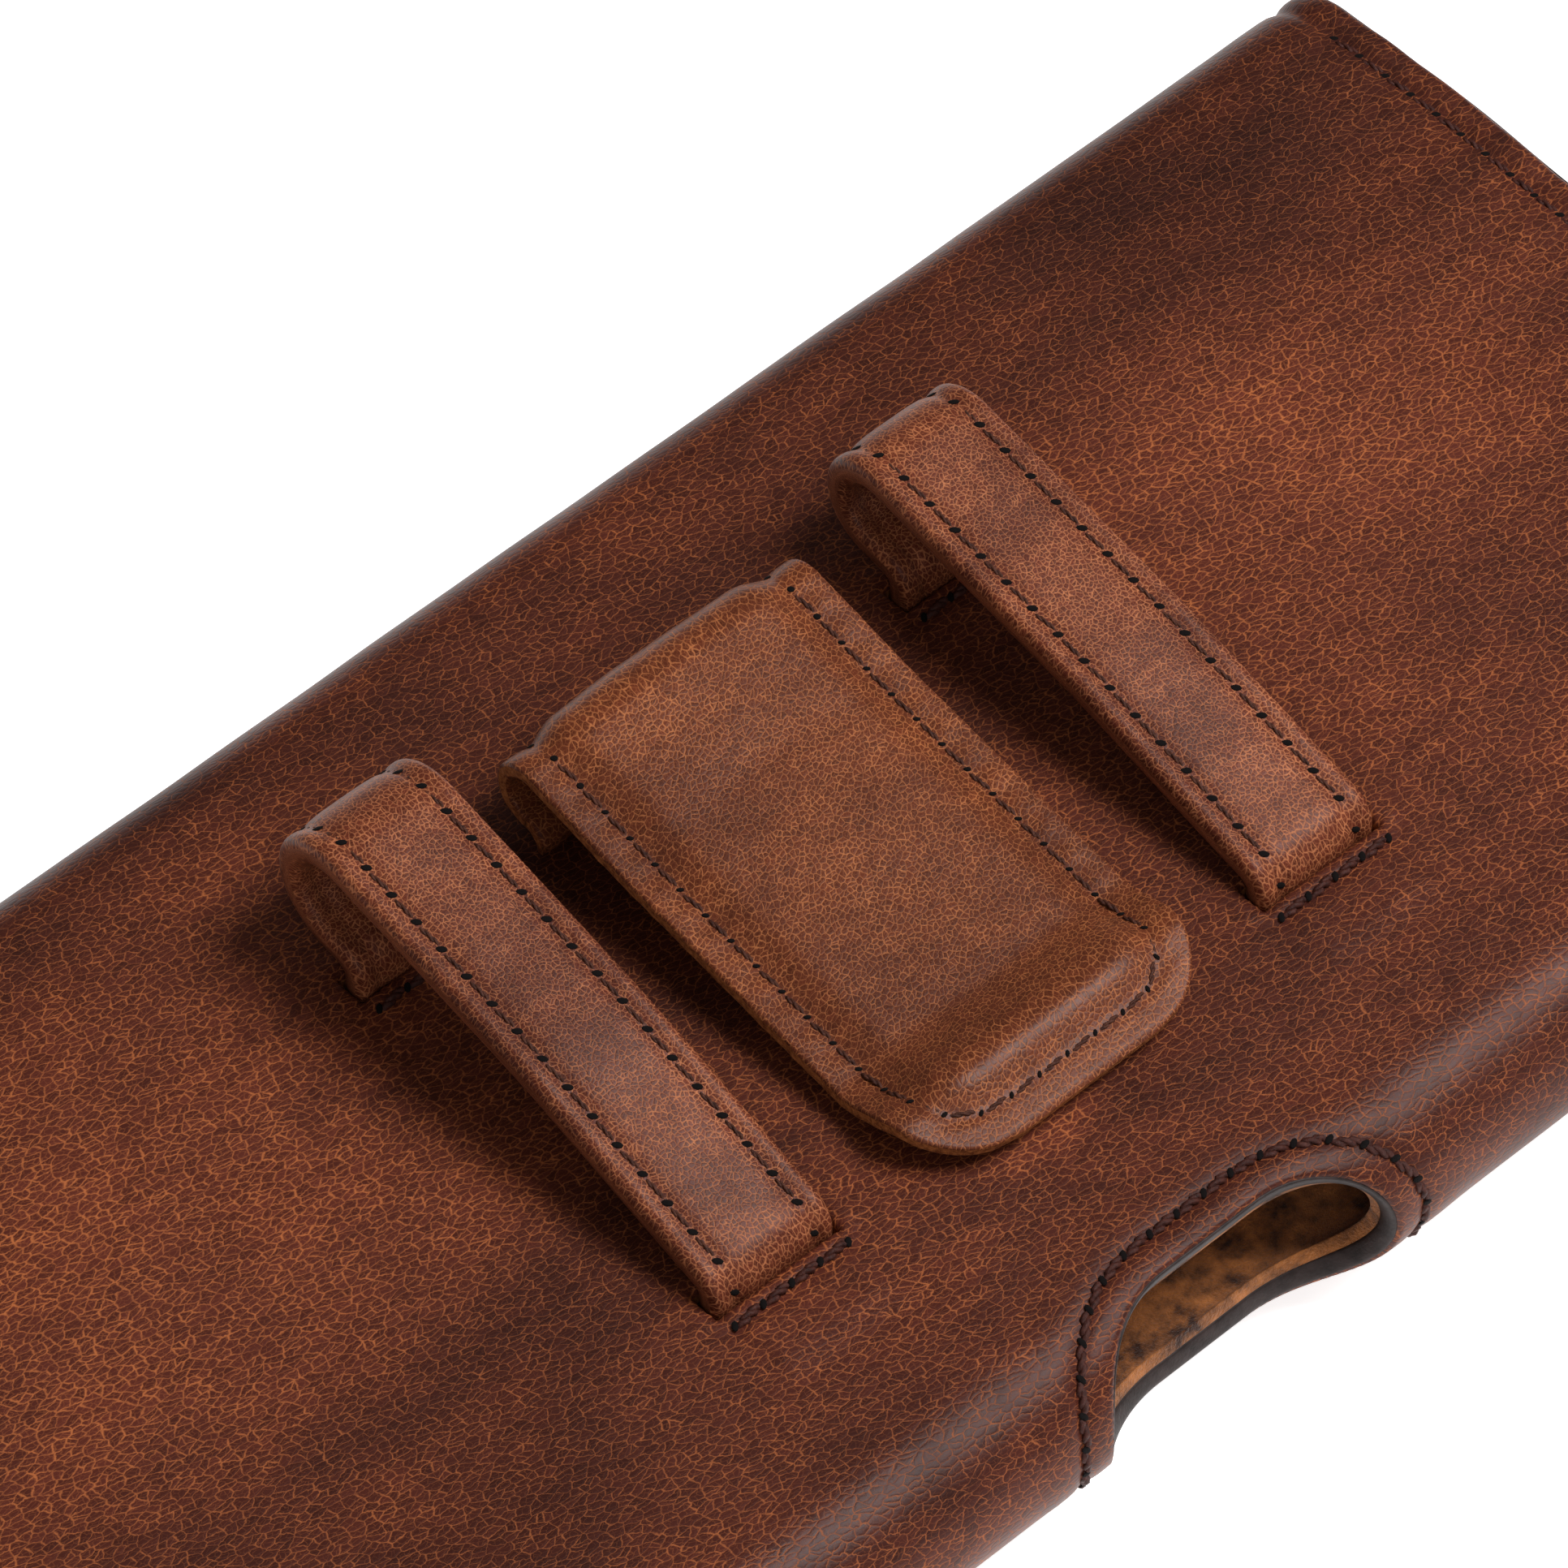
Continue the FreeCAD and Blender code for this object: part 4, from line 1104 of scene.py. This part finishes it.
def clip_sheet(name, line, start, upper, lower):
    """Leather along the clip; upper and lower give its two sides to the right of the line."""
    corners = []
    flat = []
    for surface in (upper, lower):
        for place, right, walked in line:
            along = start + walked
            squeeze = clip_width_at(along) / CLIP_HALF
            for x in clip_columns:
                at_x = x * squeeze
                jag = 0.0
                if abs(abs(x) - CLIP_HALF) < 0.01:
                    jag = math.copysign(0.10, x) * ripple(at_x, along, 1.3, 31)
                corners.append(Vector((at_x + jag, place.y, place.z)) + right * surface(at_x, along))
                flat.append((at_x, along + 300))
    count = len(corners) // 2
    faces, border = two_sides(len(line), len(clip_columns))
    inner = len(faces)
    # The cut edge gets a ring of corners of its own, pushed in and out as torn fibres are.
    ring = {}
    for a in sorted({corner for pair in border for corner in pair}):
        middle = (corners[a] + corners[a + count]) / 2
        fray = 0.16 * ripple(middle.x + middle.z, middle.y, 0.9, 41)
        ring[a] = len(corners)
        corners.append(middle + Vector((fray * math.copysign(1, middle.x), 0, 0)))
        flat.append(flat[a])
    for a, b in border:
        faces.append([a, b, ring[b], ring[a]])
        faces.append([ring[a], ring[b], b + count, a + count])
    return face_outwards(piece_of(name, corners, faces, flat, [clip_leather, cut_edge],
                                  range(inner, len(faces))))


lining_bend_line = [station for station in bend_line if station[2] > 1.1]
cover_bend = clip_sheet("clip_bend_cover", bend_line, 0, cover_top, steel_top)
cover_blade = clip_sheet("clip_blade_cover", blade_line, BEND_LENGTH, cover_top, steel_top)
under_bend = clip_sheet("clip_bend_lining", lining_bend_line, 0, steel_bottom, lining_bottom)
under_blade = clip_sheet("clip_blade_lining", blade_line, BEND_LENGTH, steel_bottom, lining_bottom)
for made, node in ((cover_bend, "clip_cover_bend"), (under_bend, "clip_lining_bend")):
    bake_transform(made)
    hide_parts(node)
for made, node in ((cover_blade, "clip_cover_blade"), (under_blade, "clip_lining_blade")):
    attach(made, "clip")
    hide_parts(node)

# %% [markdown]
# The steel strip inside the bend is bent again here along the same line.

# %% Steel in the bend
corners = []
for place, right, walked in bend_line:
    for x, offset in ((-1, 1), (1, 1), (1, -1), (-1, -1)):
        corners.append(Vector((x * STEEL_HALF, place.y, place.z)) + right * offset * SPRING / 2)
steel = face_outwards(piece_of("clip_bend_steel", corners, tube_faces(len(bend_line), 4),
                               [(c.x, c.z) for c in corners], [spring_steel]))
steel.data.polygons.foreach_set("use_smooth", [False] * len(steel.data.polygons))
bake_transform(steel)
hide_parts("clip_spring_bend")

# %% [markdown]
# ## Stitches
# Hundreds of stitches follow the seams, so Geometry Nodes make them. A seam is a thin line of
# edges that knows which way is up at each point. The tree cuts it into stitches of even length and
# sets on each one a small twisted pair of plies that dips at both ends. A second tree sets the open
# needle holes between them. The results are realised to plain meshes, one for each seam.

# %% Trees for stitches and needle holes
def seam_tree(name, sizes):
    """A tree with its named inputs, and the sockets that give them."""
    tree = bpy.data.node_groups.new(name, "GeometryNodeTree")
    sockets = {"Seam": "Geometry", **dict.fromkeys(sizes, "Float"), "Seed": "Int",
               "Finish": "Material"}
    for label, kind in sockets.items():
        tree.interface.new_socket(label, in_out="INPUT", socket_type="NodeSocket" + kind)
    tree.interface.new_socket("Stitches", in_out="OUTPUT", socket_type="NodeSocketGeometry")
    return tree, add(tree, "NodeGroupInput").node.outputs


def spaced_seam(tree, given):
    """The seam cut into edges one stitch long, each edge knowing its own direction."""
    curve = add(tree, "GeometryNodeMeshToCurve", {"Mesh": given["Seam"]})
    curve = add(tree, "GeometryNodeResampleCurve", {"Curve": curve, "Length": given["Pitch"]},
                mode="LENGTH")
    line = add(tree, "GeometryNodeCurveToMesh", {"Curve": curve})
    tips = add(tree, "GeometryNodeInputMeshEdgeVertices").node.outputs
    along = add(tree, "ShaderNodeVectorMath", {0: tips["Position 2"], 1: tips["Position 1"]},
                operation="SUBTRACT")
    return add(tree, "GeometryNodeStoreNamedAttribute", {
        "Geometry": line, "Name": "along", "Value": along}, data_type="FLOAT_VECTOR", domain="EDGE")


def lay_along(tree, given, mode, shape):
    """Sets the shape on the seam, its z up from the leather and its x along the seam."""
    spots = add(tree, "GeometryNodeMeshToPoints", {"Mesh": spaced_seam(tree, given)}, mode=mode)
    up, along = [add(tree, "GeometryNodeInputNamedAttribute", {"Name": name}, out="Attribute",
                     data_type="FLOAT_VECTOR") for name in ("up", "along")]
    turn = add(tree, "FunctionNodeAlignRotationToVector", {"Vector": up}, axis="Z")
    turn = add(tree, "FunctionNodeAlignRotationToVector", {"Rotation": turn, "Vector": along},
               axis="X", pivot_axis="Z")
    sway = add(tree, "FunctionNodeRandomValue", {"Min": -0.06, "Max": 0.06, "Seed": given["Seed"]},
               out="Value", data_type="FLOAT")
    sway = add(tree, "ShaderNodeMath", {0: sway, 1: given["Lean"]}, operation="ADD")
    spin = add(tree, "FunctionNodeAxisAngleToRotation", {"Axis": (0, 0, 1), "Angle": sway})
    turn = add(tree, "FunctionNodeRotateRotation", {"Rotation": turn, "Rotate By": spin},
               rotation_space="LOCAL")
    laid = add(tree, "GeometryNodeInstanceOnPoints", {
        "Points": spots, "Instance": shape, "Rotation": turn})
    solid = add(tree, "GeometryNodeRealizeInstances", {"Geometry": laid})
    solid = add(tree, "GeometryNodeSetMaterial", {"Geometry": solid, "Material": given["Finish"]})
    add(tree, "NodeGroupOutput", {"Stitches": solid})
    print("tree:", tree.name)
    return tree


def thread_tree():
    tree, given = seam_tree("two ply stitches along a seam",
                            ("Pitch", "Length", "Thread", "Twists", "Sink", "Lean"))
    pair = add(tree, "GeometryNodeJoinGeometry")
    apart = add(tree, "ShaderNodeMath", {0: given["Thread"], 1: 0.24}, **TIMES)
    thick = add(tree, "ShaderNodeMath", {0: given["Thread"], 1: 0.29}, **TIMES)
    ring = add(tree, "GeometryNodeCurvePrimitiveCircle", {"Resolution": 5, "Radius": thick})
    share = add(tree, "GeometryNodeSplineParameter")
    turns = add(tree, "ShaderNodeMath", {0: share, 1: given["Twists"]}, **TIMES)
    # The dip at both ends: nothing in the middle, all of Sink at the tips.
    dip = add(tree, "ShaderNodeMath", {0: share, 1: 2.0, 2: -1.0}, **TIMES_PLUS)
    dip = add(tree, "ShaderNodeMath", {0: dip}, operation="ABSOLUTE")
    dip = add(tree, "ShaderNodeMath", {0: dip, 1: 3.5}, operation="POWER")
    dip = add(tree, "ShaderNodeMath", {0: dip, 1: given["Sink"]}, **TIMES)
    spot = add(tree, "GeometryNodeInputPosition")
    stretch = add(tree, "ShaderNodeCombineXYZ", {"X": given["Length"], "Y": 1.0, "Z": 1.0})
    for phase in (0.0, math.pi):
        angle = add(tree, "ShaderNodeMath", {0: turns, 1: 2 * math.pi, 2: phase}, **TIMES_PLUS)
        side, lift = [add(tree, "ShaderNodeMath", {
            0: add(tree, "ShaderNodeMath", {0: angle}, operation=wave), 1: apart}, **TIMES)
            for wave in ("COSINE", "SINE")]
        lift = add(tree, "ShaderNodeMath", {0: lift, 1: dip}, operation="SUBTRACT")
        spread = add(tree, "ShaderNodeCombineXYZ", {"Y": side, "Z": lift})
        moved = add(tree, "ShaderNodeVectorMath", {0: spot, 1: stretch, 2: spread}, **TIMES_PLUS)
        strand = add(tree, "GeometryNodeCurvePrimitiveLine", {
            "Start": (-0.5, 0, 0), "End": (0.5, 0, 0)})
        strand = add(tree, "GeometryNodeResampleCurve", {"Curve": strand, "Count": 7})
        strand = add(tree, "GeometryNodeSetPosition", {"Geometry": strand, "Position": moved})
        ply = add(tree, "GeometryNodeCurveToMesh", {
            "Curve": strand, "Profile Curve": ring, "Fill Caps": True})
        tree.links.new(ply, pair.node.inputs["Geometry"])
    return lay_along(tree, given, "EDGES", pair)


def needle_hole_tree():
    tree, given = seam_tree("needle holes along a seam", ("Pitch", "Long", "Wide", "Lean"))
    ball = add(tree, "GeometryNodeMeshUVSphere", {"Segments": 8, "Rings": 5, "Radius": 0.5})
    girth = add(tree, "ShaderNodeCombineXYZ", {
        "X": given["Long"], "Y": given["Wide"], "Z": 0.22 * MM})
    pit = add(tree, "GeometryNodeTransform", {"Geometry": ball, "Scale": girth})
    return lay_along(tree, given, "VERTICES", pit)


thread_stitches = thread_tree()
needle_holes = needle_hole_tree()


# %% [markdown]
# Sewing a seam: the line goes into a mesh with its up directions, the tree runs once, and the
# plain mesh that comes out replaces the line.

# %% Sewing
def sew(name, seams, tree, finish, sizes, closed=False):
    """seams are lists of (point, up) in millimetres; the result is a plain mesh object."""
    edges = []
    first = 0
    for seam in seams:
        edges += [(first + i, first + i + 1) for i in range(len(seam) - 1)]
        if closed:
            edges.append((first + len(seam) - 1, first))
        first += len(seam)
    mesh = bpy.data.meshes.new(name)
    mesh.from_pydata([point * MM for seam in seams for point, up in seam], edges, [])
    ups = [c for seam in seams for point, up in seam for c in up]
    mesh.attributes.new("up", "FLOAT_VECTOR", "POINT").data.foreach_set("vector", ups)
    piece = bpy.data.objects.new(name, mesh)
    bpy.context.scene.collection.objects.link(piece)
    sewing = piece.modifiers.new("sewing", "NODES")
    sewing.node_group = tree
    sockets = {item.name: item.identifier for item in tree.interface.items_tree
               if item.in_out == "INPUT"}
    sewing[sockets["Seed"]] = 7
    sewing[sockets["Finish"]] = finish
    for label, value in sizes.items():
        sewing[sockets[label]] = float(value)
    piece.update_tag()
    seen = piece.evaluated_get(bpy.context.evaluated_depsgraph_get())
    made = bpy.data.meshes.new_from_object(seen)
    piece.modifiers.remove(sewing)
    piece.data = made
    made.name = name
    made.polygons.foreach_set("use_smooth", [True] * len(made.polygons))
    for attribute in ("up", "along"):
        if attribute in made.attributes:
            made.attributes.remove(made.attributes[attribute])
    print(f"{name}: {len(made.polygons)} faces")
    return piece


THIN = {"Pitch": 0.003, "Length": 0.0025, "Thread": 0.00048, "Twists": 1.5, "Sink": 0.0004,
        "Lean": 0.10}
MIDDLE = {**THIN, "Thread": 0.0005}
THICK = {"Pitch": 0.003, "Length": 0.0029, "Thread": 0.00095, "Twists": 1.5, "Sink": 0.0007,
         "Lean": 0.16}
HOLES = {"Pitch": 0.003, "Long": 0.0011, "Wide": 0.0006, "Lean": 0.9}


def sewn_seam(name, seams, thread=thin_thread, stitch=THIN, holes=HOLES, closed=False):
    """The stitches and the needle holes of one seam."""
    pieces = [sew(f"{name}_thread", seams, thread_stitches, thread, stitch, closed),
              sew(f"{name}_needle_holes", seams, needle_holes, needle_hole, holes, closed)]
    return pieces


def on_hide(x, s, lift, surface=hide_grain_side):
    """A seam point on the grain side, with the direction out of the leather."""
    up = (hide_point(x, s, -1) - hide_point(x, s, 0)).normalized()
    return surface(x, s) + up * lift, up


# %% [markdown]
# ## Seams of the body
# The thick thread goes round the oval hole and makes the four bar tacks that hold the loops. The
# ends of the pouch are sewn through panels and gusset with the same thread, sunk deep.

# %% Body seams
oval_seam = [on_hide(x, s, 0.2) for x, s in oval_ring(SEAM_FROM_OVAL, 0.8)]
for piece in sewn_seam("oval_hole_seam", [oval_seam], thick_thread, THICK, closed=True):
    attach(piece, "pouch")

tack_rows = [[on_hide(middle_x + across, middle_s - TACK_BELOW, 0.22)
              for across in evenly(-6, 6, 24)] for middle_x, middle_s in slits]
tacks = sewn_seam("bar_tack", tack_rows, thick_thread, THICK)
for piece in tacks:
    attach(piece, "pouch")
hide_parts("bar_tacks")

for side, sign in SIDES:
    x = sign * (HALF_LENGTH - SEAM_FROM_END)
    line = [on_hide(x, s, -0.02) for s in evenly(3, CREASE_START - 2, 240)]
    for piece in sewn_seam(f"{side}_end_seam", [line], thick_thread, {**THICK, "Thread": 0.0007}):
        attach(piece, "pouch")

flap_x = HALF_LENGTH - SEAM_FROM_END
flap_s = FLAP_END - SEAM_FROM_END
flap_side = [(-flap_x, FLAP_START + 2 + i) for i in range(int(flap_s - FLAP_START - 2))]
flap_path = flap_side + [(x, flap_s) for x in evenly(-flap_x, flap_x, 180)]
flap_path += [(-x, s) for x, s in reversed(flap_side)]
flap_line = [on_hide(x, s, -0.05, flap_grain_side) for x, s in flap_path]
for piece in sewn_seam("flap_seam", [flap_line], stitch=MIDDLE):
    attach(piece, "flap")

# %% [markdown]
# ## Seams of loops and clip
# Two rows of thin thread run up each loop, and one row goes round the clip. Over the clip's bend
# the row is its own piece.

# %% Loop seams
row_lift = STRAP / 2 - ROW_GROOVE + 0.05
for side, sign in SIDES:
    rows = []
    for edge in (-1, 1):
        across = Vector((sign * LOOP_X + edge * (LOOP_WIDTH / 2 - ROW_FROM_EDGE), 0, 0))
        rows.append([(place - right * row_lift + across, -right)
                     for place, right, walked in loop_line(LOOP_RISES[side])
                     if place.z >= BACK_Z + 0.4])
    for piece in sewn_seam(f"{side}_loop_seam", rows):
        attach(piece, "pouch")

# %% Clip seams
THREAD_LIFT = 0.05
seam_half = CLIP_HALF - CLIP_SEAM
turn_radius = CLIP_CORNER - CLIP_SEAM
side_end = CLIP_LENGTH - CLIP_CORNER
flat_seam = [(-seam_half, BEND_LENGTH + 0.5 * i) for i in range(int(2 * (side_end - BEND_LENGTH)))]
for turn in evenly(0, math.pi / 2, 12):
    flat_seam.append((-(CLIP_HALF - CLIP_CORNER) - turn_radius * math.cos(turn),
                      side_end + turn_radius * math.sin(turn)))
flat_seam += [(-x, along) for x, along in reversed(flat_seam)]


def on_clip(x, along, place, right):
    """A point of the cover's top beside a place of the clip's line."""
    return Vector((x, place.y, place.z)) + right * (cover_top(x, along) + THREAD_LIFT), right


def on_blade(x, along):
    """A seam point at a distance along the clip, between two stations of the blade."""
    walked = along - BEND_LENGTH
    for before, after in zip(blade_line, blade_line[1:]):
        if before[2] <= walked <= after[2] + 1e-6:
            share = (walked - before[2]) / (after[2] - before[2])
            right = before[1].lerp(after[1], share).normalized()
            return on_clip(x, along, before[0].lerp(after[0], share), right)
    return on_clip(x, along, *blade_line[-1][:2])


blade_seam = [on_blade(x, along) for x, along in flat_seam]
for piece in sewn_seam("clip_seam", [blade_seam], stitch=MIDDLE,
                       holes={**HOLES, "Long": 0.0007, "Wide": 0.0004}):
    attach(piece, "clip")
bend_rows = [[on_clip(x, walked, place, right) for place, right, walked in bend_line if walked > 1]
             for x in (-seam_half, seam_half)]
for piece in sewn_seam("clip_bend_seam", bend_rows, stitch=MIDDLE, holes={**HOLES, "Long": 0.0007}):
    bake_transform(piece)

# %% [markdown]
# ## Table, light and camera
# The pouch lies on a white table in a white room. A large soft box in front of it on the right
# gives the broad highlights on the bends, and a weaker one on the left lifts the shadows under the
# loops.

# %% Table
TABLE_HALF = 1600


def paper_surface(tree):
    place = add(tree, "ShaderNodeTexCoord", out="Object")
    tooth = add(tree, "ShaderNodeTexNoise", {"Vector": place, "Scale": 900.0, "Detail": 2})
    shade = add(tree, "ShaderNodeMapRange", {"Value": tooth, "To Min": 0.90, "To Max": 0.96})
    return {"Base Color": shade, "Roughness": 0.9, "Emission Color": (1, 1, 1, 1),
            "Emission Strength": 0.75}


table_corners = [Vector((x * TABLE_HALF, y * TABLE_HALF, -0.05))
                 for x, y in ((-1, -1), (1, -1), (1, 1), (-1, 1))]
table = piece_of("white_table", table_corners, [[0, 1, 2, 3]], [(0, 0)] * 4,
                 [new_finish("matt white paper", paper_surface)])

# %% Light and camera
scene = bpy.context.scene
scene.view_settings.view_transform = "Standard"
world = bpy.data.worlds.new("white room")
world.use_nodes = True
world.node_tree.nodes["Background"].inputs["Color"].default_value = (1, 1, 1, 1)
world.node_tree.nodes["Background"].inputs["Strength"].default_value = 0.15
scene.world = world


def soft_box(name, place, side, power):
    """A square area light that points at the pouch, in metres and watts."""
    lamp = bpy.data.lights.new(name, "AREA")
    lamp.shape = "SQUARE"
    lamp.size = side
    lamp.energy = power
    light = bpy.data.objects.new(name, lamp)
    light.location = place
    light.rotation_euler = (-Vector(place)).to_track_quat("-Z", "Y").to_euler()
    scene.collection.objects.link(light)


soft_box("overhead_soft_box", (0.33, -0.26, 0.72), 0.38, 7.3)
soft_box("front_fill", (-0.5, -0.6, 0.6), 0.6, 1.6)

CAMERA_DISTANCE = 0.8543
azimuth = math.radians(-42.393)
elevation = math.radians(51.793)
aim = Vector((3.53, 12.52, 20.0)) * MM
back = Vector((math.sin(azimuth) * math.cos(elevation), -math.cos(azimuth) * math.cos(elevation),
               math.sin(elevation)))
lens = bpy.data.cameras.new("camera")
lens.sensor_width = 36
lens.lens = 242.54
camera = bpy.data.objects.new("camera", lens)
camera.location = aim + back * CAMERA_DISTANCE
camera.rotation_mode = "QUATERNION"
roll = Quaternion((0, 0, 1), math.radians(-0.134))
camera.rotation_quaternion = (-back).to_track_quat("-Z", "Y") @ roll
scene.collection.objects.link(camera)
scene.camera = camera
